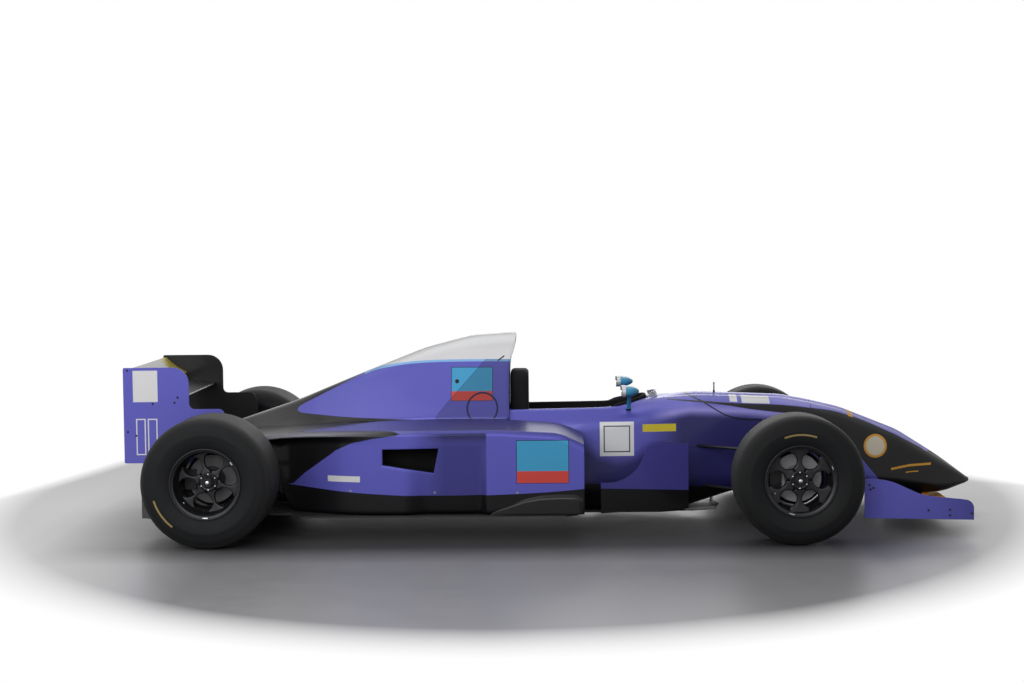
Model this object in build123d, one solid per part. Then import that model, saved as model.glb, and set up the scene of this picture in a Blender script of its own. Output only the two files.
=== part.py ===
from build123d import *
import math
import os

# Open wheel single seater racing car, millimetres.
# +X forward, +Y left, +Z up; origin on the ground under the middle of the car's box.

# ---- wheels and axles -------------------------------------------------------
REAR_AXLE_X = -1735
WHEELBASE = 2930
FRONT_AXLE_X = REAR_AXLE_X + WHEELBASE
FRONT_TYRE_R = 321
FRONT_TYRE_W = 300
REAR_TYRE_R = 327
REAR_TYRE_W = 380
OVERALL_WIDTH = 1990
FRONT_WHEEL_Y = (OVERALL_WIDTH - FRONT_TYRE_W) / 2
REAR_WHEEL_Y = (OVERALL_WIDTH - REAR_TYRE_W) / 2
REAR_TYRE_FACE_Y = OVERALL_WIDTH / 2 - REAR_TYRE_W
BEAD_R = 166
FLANGE_R = 178
BARREL_WALL = 7
TYRE_WALL = 12
RIM_INSET = 14
SPOKES = 6
HUB_BOSS_R = 44
NUT_R = 30
FRONT_SPOKE_DEPTH = 62
REAR_SPOKE_DEPTH = 112
SPOKE_THICK = 26
SPOKE_WAIST = 13
SPOKE_FLARE = 30
REAR_SPOKE_TURN = 15
HUB_SHAFT_R = 30
SHAFT_R = 14
JOINT_R = 36
JOINT_LONG = 65
DISC_R = 122
DISC_THICK = 26

# ---- clearances ---------------------------------------------------------------
RUNNING_GAP = 0.3
PAD_GAP = 5

# ---- steering -------------------------------------------------------------------
KINGPIN_INSET = 90
KINGPIN_Y = FRONT_WHEEL_Y - KINGPIN_INSET
FRONT_DISC_OUT = 60
REAR_UPRIGHT_INSET = 130
REAR_UPRIGHT_Y = REAR_WHEEL_Y - REAR_UPRIGHT_INSET
REAR_DISC_OUT = 78
UPRIGHT_HALF = 35
UPRIGHT_WIDE = 45
UPRIGHT_TALL = 128
UPRIGHT_BORE_R = 62
KNUCKLE_WIDE = 35
KNUCKLE_BOSS_R = 55
CALIPER_BRIDGE_HALF = 40
CALIPER_OUT = 14
CALIPER_IN = 42
CALIPER_HALF_WIDTH = 34
CALIPER_HALF_TALL = 50
BELL_R = 62
# inner ends of the suspension legs, left side
FRONT_UPPER_FEET = ((714, 150, 410), (1330, 60, 428))
FRONT_LOWER_FEET = ((740, 150, 200), (1325, 60, 205))
FRONT_PUSH_TOP = (1105, 110, 570)
REAR_UPPER_FEET = ((-1560, 60, 400), (-1850, 60, 395))
REAR_LOWER_FEET = ((-1480, 60, 160), (-1860, 60, 215))
REAR_PUSH_TOP = (-1600, 60, 410)
KNUCKLE_HALF = 30
BALL_HALF_HEIGHT = 110
EYE_R = 16
EYE_H = 20
EYE_GAP = 2
PIN_R = 8
STEER_ARM = 95
ARM_PLATE = 8
RACK_Z = 384
ROD_R = 9
ARM_CHORD = 34
ARM_THICK = 14
PUSH_CHORD = 24
PUSH_THICK = 14
PUSH_SHARE = 0.1
ARM_PIN_R = 5
ROD_EYE_R = 17
ROD_EYE_DRIFT = 5

# ---- floor ------------------------------------------------------------------------
REFERENCE_Z = 62
STEP = 50
SHEET = 10
PLANK_THICK = 10
PLANK_HALF_WIDTH = 150
KEEL_HALF_WIDTH = 250
FLOOR_HALF_WIDTH = 700
FLOOR_FRONT_X = 110
BIB_FRONT_X = 886
TAIL_TYRE_GAP = 30
TAIL_HALF_WIDTH = REAR_TYRE_FACE_Y - TAIL_TYRE_GAP
TAIL_FRONT_X = -1360
STEP_Z = REFERENCE_Z + STEP
FLOOR_TOP = STEP_Z + SHEET
KEEL_TOP = REFERENCE_Z + SHEET
DIFFUSER_REAR_X = -2150
DIFFUSER_RISE = 130
STRAKE_YS = (250, 130)

# ---- body shell stations -----------------------------------------------------------
# columns: x, then four corners of the half section from the bottom up, as z, half width
TUB = (
    (-290, KEEL_TOP, 215, 190, 270, 530, 262, 603, 222),
    (140, KEEL_TOP, 212, 190, 270, 530, 258, 608, 214),
    (265, KEEL_TOP, 205, 190, 268, 534, 252, 613, 204),
    (475, KEEL_TOP, 190, 190, 262, 585, 238, 668, 135),
    (760, 108, 165, 215, 240, 622, 190, 681, 112),
    (1215, 148, 125, 240, 182, 602, 152, 655, 84),
    (1360, 146, 115, 232, 170, 580, 140, 628, 76),
)
NOSE = (
    TUB[-1],
    (1535, 140, 104, 215, 152, 535, 124, 585, 64),
    (1848, 130, 86, 190, 126, 412, 100, 459, 50),
    (2042, 126, 72, 168, 104, 300, 84, 337, 44),
    (2170, 138, 52, 162, 76, 232, 60, 254, 34),
    (2241, 168, 20, 176, 30, 190, 26, 199, 16),
)
COVER = (
    (-190, 560, 250, 640, 226, 800, 160, 1016, 92),
    (-450, 560, 262, 650, 228, 800, 160, 1001, 84),
    (-700, 562, 266, 650, 216, 790, 140, 935, 62),
    (-1041, 562, 262, 620, 190, 710, 110, 802, 45),
    (-1391, 520, 215, 560, 150, 610, 90, 659, 35),
    (-1713, 440, 130, 470, 95, 510, 60, 553, 25),
)
SOFT = (0.7, 0.8, 0.8, 0.9)
TUB_WALL = 30
COCKPIT_REAR_X = -240
COCKPIT_FRONT_X = 480
COCKPIT_HALF_WIDTH = 195
COCKPIT_FRONT_HALF = 120
FOOTWELL_FRONT_X = 1050
PAD_LOW_HALF = 150
PAD_TOP_HALF = 122
PAD_LOW_Z = 560
PAD_TOP_Z = 812
PAD_THICK = 97
DASH_THICK = 12
DASH_LOW_Z = 430
SCREEN_R = 128
SCREEN_WALL = 3
SCREEN_BACK = 60
SCREEN_TOP_Z = 728
# mirror pod: x, middle y, half width, middle z, half height at the glass and at the nose, then stalk feet and tops
MIRROR_PLANES = ((349, 323, 65, 719, 27), (425, 323, 38, 719, 16))
MIRROR_STALKS = (((375, 190, 600), (378, 300, 705)), ((405, 180, 620), (408, 300, 708)))
STALK_R = 5
PITOT_X = 863
PITOT_TOP_Z = 731
PITOT_R = 4
SEAT_WALL = 12
SEAT_HALF_WIDTH = 165
AIRBOX_TOP_X = -209
AIRBOX_LEAN = 36
AIRBOX_LOW_Z = 818
INLET_LOW_Z = 850
INLET_HIGH_Z = 985
INLET_HALF_WIDTH = 68
INLET_DEPTH = 330

# ---- sidepods ------------------------------------------------------------------------
POD_INNER_Y = 273
POD_WALL = 10
# columns: x, bottom z, wall and shelf in from the floor's edge, wall top z, shoulder z, deck z at its edge, at the cover
POD = (
    (140, FLOOR_TOP, 6, 0, 360, 440, 513, 528),
    (37, FLOOR_TOP, 6, 0, 380, 465, 552, 566),
    (-292, FLOOR_TOP, 6, 0, 400, 480, 568, 580),
    (-731, FLOOR_TOP, 6, 0, 400, 465, 553, 574),
    (-951, FLOOR_TOP, 14, 6, 440, 470, 530, 566),
    (-1100, FLOOR_TOP, 45, 25, 450, 478, 522, 556),
    (-1250, FLOOR_TOP, 115, 55, 455, 480, 515, 546),
    (-1400, FLOOR_TOP, 210, 102, 455, 476, 508, 536),
    (-1470, 400, 270, 130, 456, 472, 504, 531),
    (-1660, 446, 400, 230, 455, 462, 486, 512),
)
POD_SHOULDER = 70
POD_SOFT = (0.15, 0.15, 0.6, 0.8, 0.8, 0.3)
POD_HOLLOW_REAR_X = -1250
POD_TYRE_GAP = 17
# lower fairing on the side, x and z, and how far it stands out
FAIRING = ((-330, 124), (-319, 144), (-166, 206), (-80, 224), (105, 227), (132, 200), (132, 124))
FAIRING_BENDS = {3: (20, 229)}
FAIRING_DEPTH = 14
FAIRING_SEAT = 20
RECESS_DEPTH = 60
RECESS = ((-877, 455), (-596, 461), (-593, 433), (-625, 336), (-878, 380))
RADIATOR_X = -260
RADIATOR_THICK = 60

# ---- wings --------------------------------------------------------------------------------
PLATE = 8
FRONT_WING_HALF = 700
FRONT_PLATE = ((1554, 94), (1554, 294), (1621, 292), (1756, 251), (1891, 205), (2048, 190), (2106, 121), (2106, 81))
FRONT_PLATE_BENDS = {2: (1695, 279), 3: (1822, 221), 5: (2092, 166)}
FRONT_WING_LE = (2095, 104)
FRONT_WING_CHORD = 300
FRONT_FLAP_LE = (1812, 137)
FRONT_FLAP_CHORD = 228
FRONT_FLAP_INNER_Y = 175
PYLON_XS = (1860, 2020)
PYLON_Y = 42
PYLON_THICK = 10
REAR_WING_HALF = 500
REAR_WING_LE = (-1940, 708)
REAR_WING_CHORD = 190
REAR_FLAP_LE = (-2106, 768)
REAR_FLAP_CHORD = 150
BEAM_LE = (-1950, 455)
BEAM_CHORD = 150
BEAM_ANGLE = 8
BEAM_POST_XS = (-2060, -1990)
BEAM_POST_Y = 40
BEAM_POST_THICK = 10
REAR_PLATE_REAR_X = -2241
REAR_PLATE_TOP = 872
REAR_PLATE_LOW = 375
REAR_PLATE_STEP_X = -1899
REAR_PLATE_STEP_Z = 655
REAR_PLATE_FRONT_X = -1701
REAR_PLATE_BELLY = ((REAR_PLATE_FRONT_X, 500), (-1821, 480))
REAR_PLATE_ROUND = 76
REAR_PLATE_HOLLOW = 28
REAR_PLATE_NOSE = 45

# ---- power unit and tail ----------------------------------------------------------------------
ENGINE_LENGTH = 600
# half section of the engine block from the bottom up, as half width and z
ENGINE_HALF = ((150, KEEL_TOP), (190, 150), (200, 300), (262, 420), (262, 520), (180, 553))
ENGINE_FRONT_X = TUB[0][0]
ENGINE_REAR_X = ENGINE_FRONT_X - ENGINE_LENGTH
# columns: x, bottom z, half width, top z
GEARBOX = (
    (ENGINE_REAR_X, KEEL_TOP, 170, 500),
    (-1300, 90, 130, 420),
    (REAR_AXLE_X, 130, 112, 410),
    (-1950, 190, 90, 385),
)
OUTPUT_FACE_Y = 128
OUTPUT_R = 44
CRASH_REAR_X = -2185
CRASH_HALF_WIDTH = 62
CRASH_LOW_Z = 245
CRASH_HIGH_Z = 350
JACK_BAR_R = 12
JACK_BAR_X = CRASH_REAR_X + 45
JACK_BAR_Z = 290
JACK_COLLAR_R = 19
JACK_COLLAR_Y = 70
JACK_BAR_Y = 110

# ---- bargeboards ---------------------------------------------------------------------------------
BOARD_REAR = (228, 560)
BOARD_MID = (470, 470)
BOARD_FRONT = (691, 400)
BOARD_LOW_Z = 105
BOARD_TOP_Z = 446
BOARD_STEP_Z = 266
BOARD_CURVE = ((462, 424), (520, BOARD_TOP_Z))
BOARD_BENDS = {1: (405, 312), 2: (482, 441)}
BOARD_STAYS = ((600, 424, 250), (330, 516, 200))
STAY_INNER_Y = 100
STAY_R = 7


# steering wheel and its column
COLUMN_R = 14
COLUMN_TILT = 12
GRIP_WIDTH = 256
GRIP_HEIGHT = 186
GRIP_THICK = 22
WHEEL_CENTRE = (352, 0, 500)


def save(shape, name):
    export_step(shape, "parts/" + name + ".step")


def rounded_loop(corners, softness):
    """Closed wire through corners, each rounded by an arc that takes its softness of the shorter half edge."""
    points = [Vector(*c) for c in corners]
    count = len(points)
    arcs = []
    for i, p in enumerate(points):
        back = points[i - 1] - p
        ahead = points[(i + 1) % count] - p
        reach = softness[i] * 0.5 * min(back.length, ahead.length)
        u = back.normalized()
        v = ahead.normalized()
        half = math.acos(max(-1.0, min(1.0, u.dot(v)))) / 2
        middle = p + (u + v).normalized() * (reach / math.cos(half) - reach * math.tan(half))
        arcs.append((p + u * reach, middle, p + v * reach))
    edges = []
    for i, (start, middle, end) in enumerate(arcs):
        edges.append(Edge.make_three_point_arc(start, middle, end))
        edges.append(Edge.make_line(end, arcs[(i + 1) % count][0]))
    return Wire(edges)


def row_at(table, x):
    """Row of a station table worked out at any x between its first and last rows."""
    for a, b in zip(table, table[1:]):
        if min(a[0], b[0]) <= x <= max(a[0], b[0]):
            t = (x - a[0]) / (b[0] - a[0])
            return tuple(p + (q - p) * t for p, q in zip(a, b))
    return table[0] if abs(x - table[0][0]) < abs(x - table[-1][0]) else table[-1]


def shell_loop(row, inset=0):
    """Section of a symmetric shell at one station, drawn in by inset."""
    x = row[0]
    half = [(row[2] - inset, row[1] + inset), (row[4] - inset, row[3]), (row[6] - inset, row[5])]
    half.append((row[8] - inset / 2, row[7] - inset))
    ring = [(x, y, z) for y, z in half] + [(x, -y, z) for y, z in reversed(half)]
    return rounded_loop(ring, SOFT + tuple(reversed(SOFT)))


def shell(rows, inset=0):
    return Solid.make_loft([shell_loop(r, inset) for r in rows], True)


def rod(start, end, radius):
    a = Vector(*start)
    way = Vector(*end) - a
    return Solid.make_cylinder(radius, way.length, Plane(origin=a, z_dir=way))


def block(x0, x1, y0, y1, z0, z1):
    return Solid.make_box(x1 - x0, y1 - y0, z1 - z0, Plane(origin=(x0, y0, z0)))


def mirrored(shape):
    return mirror(shape, Plane.XZ)


def side_plate(points, y0, y1, bends=()):
    """Plate in the XZ plane from y0 to y1: straight edges, or an arc where bends names a middle point."""
    edges = []
    bends = dict(bends)
    for i, p in enumerate(points):
        q = points[(i + 1) % len(points)]
        a, b = Vector(p[0], y0, p[1]), Vector(q[0], y0, q[1])
        if i in bends:
            m = Vector(bends[i][0], y0, bends[i][1])
            edges.append(Edge.make_three_point_arc(a, m, b))
        else:
            edges.append(Edge.make_line(a, b))
    return Solid.extrude(Face(Wire(edges)), Vector(0, y1 - y0, 0))


def plan_plate(points, z0, z1):
    """Plate over a plan outline of (x, y) points."""
    wire = Wire.make_polygon([Vector(x, y, z0) for x, y in points], close=True)
    return Solid.extrude(Face(wire), Vector(0, 0, z1 - z0))


def foil(lead, chord, angle, y0, y1, sag=0.13, nose=0.035):
    """Wing element: round nose at lead, belly arc below, shallow hollow arc above, spanning y0 to y1."""
    a = math.radians(angle)

    def at(s, n):
        return Vector(lead[0] - s * math.cos(a) + n * math.sin(a), y0, lead[1] + s * math.sin(a) + n * math.cos(a))

    r = nose * chord
    tail = 1.5
    edges = [
        Edge.make_three_point_arc(at(r, -r), at(0, 0), at(r, r)),
        Edge.make_three_point_arc(at(r, r), at(chord * 0.5, -chord * 0.02), at(chord, tail)),
        Edge.make_line(at(chord, tail), at(chord, -tail)),
        Edge.make_three_point_arc(at(chord, -tail), at(chord * 0.45, -chord * sag), at(r, -r)),
    ]
    return Solid.extrude(Face(Wire(edges)), Vector(0, y1 - y0, 0))


# ---- chassis -------------------------------------------------------------------------------------
def cockpit_mouth():
    outline = [
        (COCKPIT_REAR_X, -COCKPIT_HALF_WIDTH),
        (COCKPIT_FRONT_X - 190, -COCKPIT_HALF_WIDTH),
        (COCKPIT_FRONT_X, -COCKPIT_FRONT_HALF),
        (COCKPIT_FRONT_X, COCKPIT_FRONT_HALF),
        (COCKPIT_FRONT_X - 190, COCKPIT_HALF_WIDTH),
        (COCKPIT_REAR_X, COCKPIT_HALF_WIDTH),
    ]
    base = [(x, y, TUB[0][5] - 60) for x, y in outline]
    wire = rounded_loop(base, (0.2, 0.6, 0.5, 0.5, 0.6, 0.2))
    return Solid.extrude(Face(wire), Vector(0, 0, 400))


def tub_cavity():
    stops = [COCKPIT_REAR_X] + [r[0] for r in TUB if COCKPIT_REAR_X < r[0] < FOOTWELL_FRONT_X]
    stops.append(FOOTWELL_FRONT_X)
    return shell([row_at(TUB, x) for x in stops], TUB_WALL)


def tub_outer():
    return shell(TUB)


def monocoque():
    body = tub_outer() - tub_cavity() - cockpit_mouth()
    rack_bore = rod((FRONT_AXLE_X + STEER_ARM, -300, RACK_Z), (FRONT_AXLE_X + STEER_ARM, 300, RACK_Z),
                    ROD_R + RUNNING_GAP)
    return body - rack_bore


def nose_cone():
    return shell(NOSE)


def engine_cover():
    body = shell(COVER)
    top = COVER[0][7] + 20
    face_x = AIRBOX_TOP_X - AIRBOX_LEAN
    front = [(face_x, 400), (face_x, AIRBOX_LOW_Z), (AIRBOX_TOP_X, top), (0, top), (0, 400)]
    body -= side_plate(front, -400, 400)
    body -= block(TUB[0][0] - RUNNING_GAP, 0, -400, 400, 400, TUB[1][7] + RUNNING_GAP)
    inlet = [inlet_loop(x, share) for x, share in ((-150, 1.0), (AIRBOX_TOP_X - INLET_DEPTH, 0.62))]
    return body - Solid.make_loft(inlet, True)


def inlet_loop(x, share):
    middle = (INLET_LOW_Z + INLET_HIGH_Z) / 2
    tall = (INLET_HIGH_Z - INLET_LOW_Z) / 2 * share
    low = INLET_HALF_WIDTH * share
    high = low * 0.75
    ring = [(x, low, middle - tall), (x, high, middle + tall), (x, -high, middle + tall), (x, -low, middle - tall)]
    return rounded_loop(ring, (0.5, 0.7, 0.7, 0.5))


def headrest():
    half = [(PAD_LOW_HALF, PAD_LOW_Z), (PAD_TOP_HALF, PAD_TOP_Z)]
    ring = [(COCKPIT_REAR_X, y, z) for y, z in half] + [(COCKPIT_REAR_X, -y, z) for y, z in reversed(half)]
    wire = rounded_loop(ring, (0.2, 0.5, 0.5, 0.2))
    return Solid.extrude(Face(wire), Vector(PAD_THICK, 0, 0))


def seat():
    low = KEEL_TOP + TUB_WALL
    line = [(-205, 545), (-70, 250), (60, low + SEAT_WALL), (290, low + SEAT_WALL + 28), (420, low + 90)]
    under = [(x + 3, z - SEAT_WALL) for x, z in reversed(line)]
    pan = side_plate(line + under, -SEAT_HALF_WIDTH, SEAT_HALF_WIDTH)
    wing = line[:4] + [(300, low + 110), (80, low + 120), (-40, 300), (-135, 552)]
    for y in (-SEAT_HALF_WIDTH, SEAT_HALF_WIDTH - SEAT_WALL):
        pan += side_plate(wing, y, y + SEAT_WALL)
    return pan & tub_cavity()


def dash_panel():
    x = COCKPIT_FRONT_X
    panel = block(x, x + DASH_THICK, -KEEL_HALF_WIDTH, KEEL_HALF_WIDTH, DASH_LOW_Z, SCREEN_TOP_Z) & tub_cavity()
    return panel - rod(column_point(-60), column_point(400), COLUMN_R + RUNNING_GAP)



def column_point(s):
    a = math.radians(COLUMN_TILT)
    return (WHEEL_CENTRE[0] + s * math.cos(a), 0, WHEEL_CENTRE[2] - s * math.sin(a))


def steering_wheel():
    a = math.radians(COLUMN_TILT)
    face = Plane(origin=WHEEL_CENTRE, x_dir=(0, 1, 0), z_dir=(math.cos(a), 0, -math.sin(a)))
    outline = RectangleRounded(GRIP_WIDTH, GRIP_HEIGHT, GRIP_HEIGHT * 0.42)
    for side in (1, -1):
        outline -= Pos(0, side * GRIP_HEIGHT * 0.27) * RectangleRounded(140, 40, 18)
    rim = extrude(face * outline, GRIP_THICK / 2, both=True)
    hub = extrude(face * Circle(34), GRIP_THICK, both=True)
    column = rod(WHEEL_CENTRE, column_point(300), COLUMN_R)
    return rim + hub + column


def windscreen():
    middle = COCKPIT_FRONT_X - SCREEN_BACK
    tall = 2 * (SCREEN_TOP_Z - 600)
    ring = Cylinder(SCREEN_R, tall) - Cylinder(SCREEN_R - SCREEN_WALL, tall + 10)
    ring = Pos(middle, 0, 600) * ring
    ring &= block(middle + 35, middle + 200, -200, 200, 600, SCREEN_TOP_Z)
    return ring - tub_outer()


def mirror_pod():
    loops = []
    for x, y, wide, z, tall in MIRROR_PLANES:
        ring = [(x, y - wide, z - tall), (x, y - wide, z + tall), (x, y + wide, z + tall), (x, y + wide, z - tall)]
        loops.append(rounded_loop(ring, (0.7, 0.7, 0.7, 0.7)))
    pod = Solid.make_loft(loops, True)
    legs = rod(*MIRROR_STALKS[0], STALK_R) + rod(*MIRROR_STALKS[1], STALK_R)
    return pod + (legs - pod - tub_outer())


def pitot():
    x, z = PITOT_X, PITOT_TOP_Z
    stalk = rod((x, 0, 660), (x, 0, z + PITOT_R), PITOT_R) - tub_outer()
    return stalk + rod((x - 6, 0, z), (x + 45, 0, z), PITOT_R - 0.5)


# ---- floor ---------------------------------------------------------------------------------------
def floor_pan():
    keel = [(BIB_FRONT_X, 0), (BIB_FRONT_X - 30, 130), (BIB_FRONT_X - 330, KEEL_HALF_WIDTH),
            (REAR_AXLE_X, KEEL_HALF_WIDTH)]
    keel = keel + [(x, -y) for x, y in reversed(keel[1:])]
    pan = plan_plate(keel, REFERENCE_Z, KEEL_TOP)
    for side in (1, -1):
        wing = [(FLOOR_FRONT_X, KEEL_HALF_WIDTH - SHEET), (FLOOR_FRONT_X, FLOOR_HALF_WIDTH - 40),
                (FLOOR_FRONT_X - 60, FLOOR_HALF_WIDTH), (TAIL_FRONT_X + 60, FLOOR_HALF_WIDTH),
                (TAIL_FRONT_X, TAIL_HALF_WIDTH), (REAR_AXLE_X, TAIL_HALF_WIDTH),
                (REAR_AXLE_X, KEEL_HALF_WIDTH - SHEET)]
        pan += plan_plate([(x, side * y) for x, y in wing], STEP_Z, FLOOR_TOP)
        wall = [(FLOOR_FRONT_X, KEEL_HALF_WIDTH - SHEET), (FLOOR_FRONT_X, KEEL_HALF_WIDTH),
                (REAR_AXLE_X, KEEL_HALF_WIDTH), (REAR_AXLE_X, KEEL_HALF_WIDTH - SHEET)]
        pan += plan_plate([(x, side * y) for x, y in wall], REFERENCE_Z, STEP_Z)
    stay = rod((BIB_FRONT_X - 40, 0, KEEL_TOP - 2), (BIB_FRONT_X - 40, 0, 300), 8) - tub_outer()
    return pan + stay


def plank():
    outline = [(BIB_FRONT_X - 20, -90), (BIB_FRONT_X - 20, 90), (BIB_FRONT_X - 160, PLANK_HALF_WIDTH),
               (REAR_AXLE_X, PLANK_HALF_WIDTH), (REAR_AXLE_X, -PLANK_HALF_WIDTH),
               (BIB_FRONT_X - 160, -PLANK_HALF_WIDTH)]
    return plan_plate(outline, REFERENCE_Z - PLANK_THICK, REFERENCE_Z)


def diffuser():
    half = TAIL_HALF_WIDTH - 60
    low = [(REAR_AXLE_X, REFERENCE_Z), (REAR_AXLE_X, KEEL_TOP), (DIFFUSER_REAR_X, KEEL_TOP + DIFFUSER_RISE),
           (DIFFUSER_REAR_X, REFERENCE_Z + DIFFUSER_RISE)]
    middle = side_plate(low, -KEEL_HALF_WIDTH, KEEL_HALF_WIDTH)
    high = [(x, z + STEP) for x, z in low]
    both = middle
    strake = [low[0], (REAR_AXLE_X, FLOOR_TOP), (DIFFUSER_REAR_X, FLOOR_TOP + DIFFUSER_RISE),
              (DIFFUSER_REAR_X, REFERENCE_Z + 30)]
    for side in (1, -1):
        outer = side_plate(high, min(side * KEEL_HALF_WIDTH, side * half), max(side * KEEL_HALF_WIDTH, side * half))
        both += outer
        for y in (KEEL_HALF_WIDTH, half):
            y0 = side * y - 4
            both += side_plate(strake, y0, y0 + 8)
    return both


# ---- sidepods ------------------------------------------------------------------------------------
def pod_loop(row, inset=0):
    x, low, wall_in, shelf_in, wall_top, shoulder, deck, inner = row
    beside_tyre = x < REAR_AXLE_X + REAR_TYRE_R + POD_TYRE_GAP
    most = REAR_TYRE_FACE_Y - POD_TYRE_GAP if beside_tyre else FLOOR_HALF_WIDTH
    wall, shelf = (min(most, FLOOR_HALF_WIDTH - inward) for inward in (wall_in, shelf_in))
    ring = [(x, POD_INNER_Y + inset, low + inset), (x, wall - inset, low + inset), (x, wall - inset, wall_top),
            (x, shelf - inset, shoulder), (x, shelf - POD_SHOULDER - inset, deck - inset),
            (x, POD_INNER_Y + inset, inner - inset)]
    return rounded_loop(ring, POD_SOFT)


def fairing():
    """Smooth swelling low on the side, ahead of the skirt."""
    outer = side_plate(FAIRING, FLOOR_HALF_WIDTH - FAIRING_SEAT, FLOOR_HALF_WIDTH + FAIRING_DEPTH, FAIRING_BENDS)
    edges = outer.edges().filter_by_position(Axis.Y, FLOOR_HALF_WIDTH + FAIRING_DEPTH - 1,
                                             FLOOR_HALF_WIDTH + FAIRING_DEPTH + 1)
    upper = [e for e in edges if e.center().Z > FLOOR_TOP + 10]
    return outer.chamfer(FAIRING_DEPTH * 0.6, None, upper)


def sidepod():
    outer = Solid.make_loft([pod_loop(r) for r in POD], True)
    window = side_plate(RECESS, FLOOR_HALF_WIDTH - RECESS_DEPTH, FLOOR_HALF_WIDTH + RECESS_DEPTH)
    return outer + fairing() - pod_hollow(POD_WALL) - window


def pod_hollow(inset):
    rows = [(POD[0][0] + 5,) + POD[0][1:]] + [r for r in POD if r[0] > POD_HOLLOW_REAR_X]
    rows.append(row_at(POD, POD_HOLLOW_REAR_X))
    return Solid.make_loft([pod_loop(r, inset) for r in rows], True)


def radiator():
    core = block(RADIATOR_X, RADIATOR_X + RADIATOR_THICK, 0, FLOOR_HALF_WIDTH, 0, 500)
    return core & pod_hollow(POD_WALL + RUNNING_GAP)


def bargeboard():
    rear, front = BOARD_REAR[0], BOARD_FRONT[0]
    outline = [(rear, BOARD_LOW_Z), (rear, BOARD_STEP_Z), *BOARD_CURVE, (front, BOARD_TOP_Z - 2),
               (front, BOARD_LOW_Z)]
    flat = side_plate(outline, BOARD_FRONT[1] - 100, BOARD_REAR[1] + 100, BOARD_BENDS)
    arc_out = Edge.make_three_point_arc(Vector(*BOARD_REAR, 0), Vector(*BOARD_MID, 0), Vector(*BOARD_FRONT, 0))
    arc_in = Edge.make_three_point_arc(Vector(BOARD_FRONT[0], BOARD_FRONT[1] - PLATE, 0),
                                       Vector(BOARD_MID[0], BOARD_MID[1] - PLATE, 0),
                                       Vector(BOARD_REAR[0], BOARD_REAR[1] - PLATE, 0))
    ends = [Edge.make_line(arc_out @ 1, arc_in @ 0), Edge.make_line(arc_in @ 1, arc_out @ 0)]
    strip = Solid.extrude(Face(Wire([arc_out, ends[0], arc_in, ends[1]])), Vector(0, 0, BOARD_TOP_Z + 100))
    board = flat & strip
    stays = [rod((x, STAY_INNER_Y, z), (x, y, z), STAY_R) for x, y, z in BOARD_STAYS]
    return board + (stays[0] + stays[1] - board - tub_outer())


# ---- wings ---------------------------------------------------------------------------------------
def front_wing():
    inner = FRONT_WING_HALF - PLATE
    plane = foil(FRONT_WING_LE, FRONT_WING_CHORD, 4, -inner, inner, 0.06, 0.03)
    top = [(x, row_at(NOSE, x)[1] - RUNNING_GAP) for x in PYLON_XS]
    low = FRONT_WING_LE[1] + 2
    for side in (1, -1):
        y0 = side * PYLON_Y - PYLON_THICK / 2
        plane += side_plate([(PYLON_XS[0], low), *top, (PYLON_XS[-1], low)], y0, y0 + PYLON_THICK)
    return plane


def front_flap():
    return foil(FRONT_FLAP_LE, FRONT_FLAP_CHORD, 32, FRONT_FLAP_INNER_Y, FRONT_WING_HALF - PLATE, 0.09, 0.03)


def front_endplate():
    return side_plate(FRONT_PLATE, FRONT_WING_HALF - PLATE, FRONT_WING_HALF, FRONT_PLATE_BENDS)


def rear_span():
    return REAR_WING_HALF - PLATE


def rear_endplate():
    """Outline from the foot of the rear edge round the top: a large round over the flap, a step down with a
    concave corner, and a round nose beside the tyre."""
    x0, x1, x2 = REAR_PLATE_REAR_X, REAR_PLATE_STEP_X, REAR_PLATE_FRONT_X
    top, step, low = REAR_PLATE_TOP, REAR_PLATE_STEP_Z, REAR_PLATE_LOW
    r, hollow, nose = REAR_PLATE_ROUND, REAR_PLATE_HOLLOW, REAR_PLATE_NOSE
    bow = 1 - math.sqrt(0.5)
    outline = [(x0, low), (x0, top), (x1 - r, top), (x1, top - r), (x1, step + hollow), (x1 + hollow, step),
               (x2 - nose, step), (x2, step - nose), *REAR_PLATE_BELLY, (x1 + hollow, low)]
    bends = {2: (x1 - bow * r, top - bow * r), 4: (x1 + bow * hollow, step + bow * hollow),
             6: (x2 - bow * nose, step - bow * nose)}
    return side_plate(outline, rear_span(), REAR_WING_HALF, bends)


def rear_beam_wing():
    beam = foil(BEAM_LE, BEAM_CHORD, BEAM_ANGLE, -rear_span(), rear_span(), 0.1, 0.04)
    tail = crash_structure()
    rear, front = BEAM_POST_XS
    for side in (1, -1):
        y = side * BEAM_POST_Y
        post = block(rear, front, y - BEAM_POST_THICK / 2, y + BEAM_POST_THICK / 2, JACK_BAR_Z, BEAM_LE[1] + 20)
        post = post - beam - tail
        beam += post.solids().sort_by(Axis.Z)[0]
    return beam


# ---- power unit and tail -------------------------------------------------------------------------
def engine_block():
    half = ENGINE_HALF
    ring = [(ENGINE_REAR_X, y, z) for y, z in half] + [(ENGINE_REAR_X, -y, z) for y, z in reversed(half)]
    wire = Wire.make_polygon([Vector(*p) for p in ring], close=True)
    return Solid.extrude(Face(wire), Vector(ENGINE_LENGTH, 0, 0))


def box_loop(x, low, half, high):
    ring = [(x, half, low), (x, half, high), (x, -half, high), (x, -half, low)]
    return rounded_loop(ring, (0.5, 0.6, 0.6, 0.5))


def gearbox():
    body = Solid.make_loft([box_loop(*row) for row in GEARBOX], True)
    return body + across(REAR_AXLE_X, -OUTPUT_FACE_Y, REAR_TYRE_R, OUTPUT_R, 2 * OUTPUT_FACE_Y)


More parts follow.
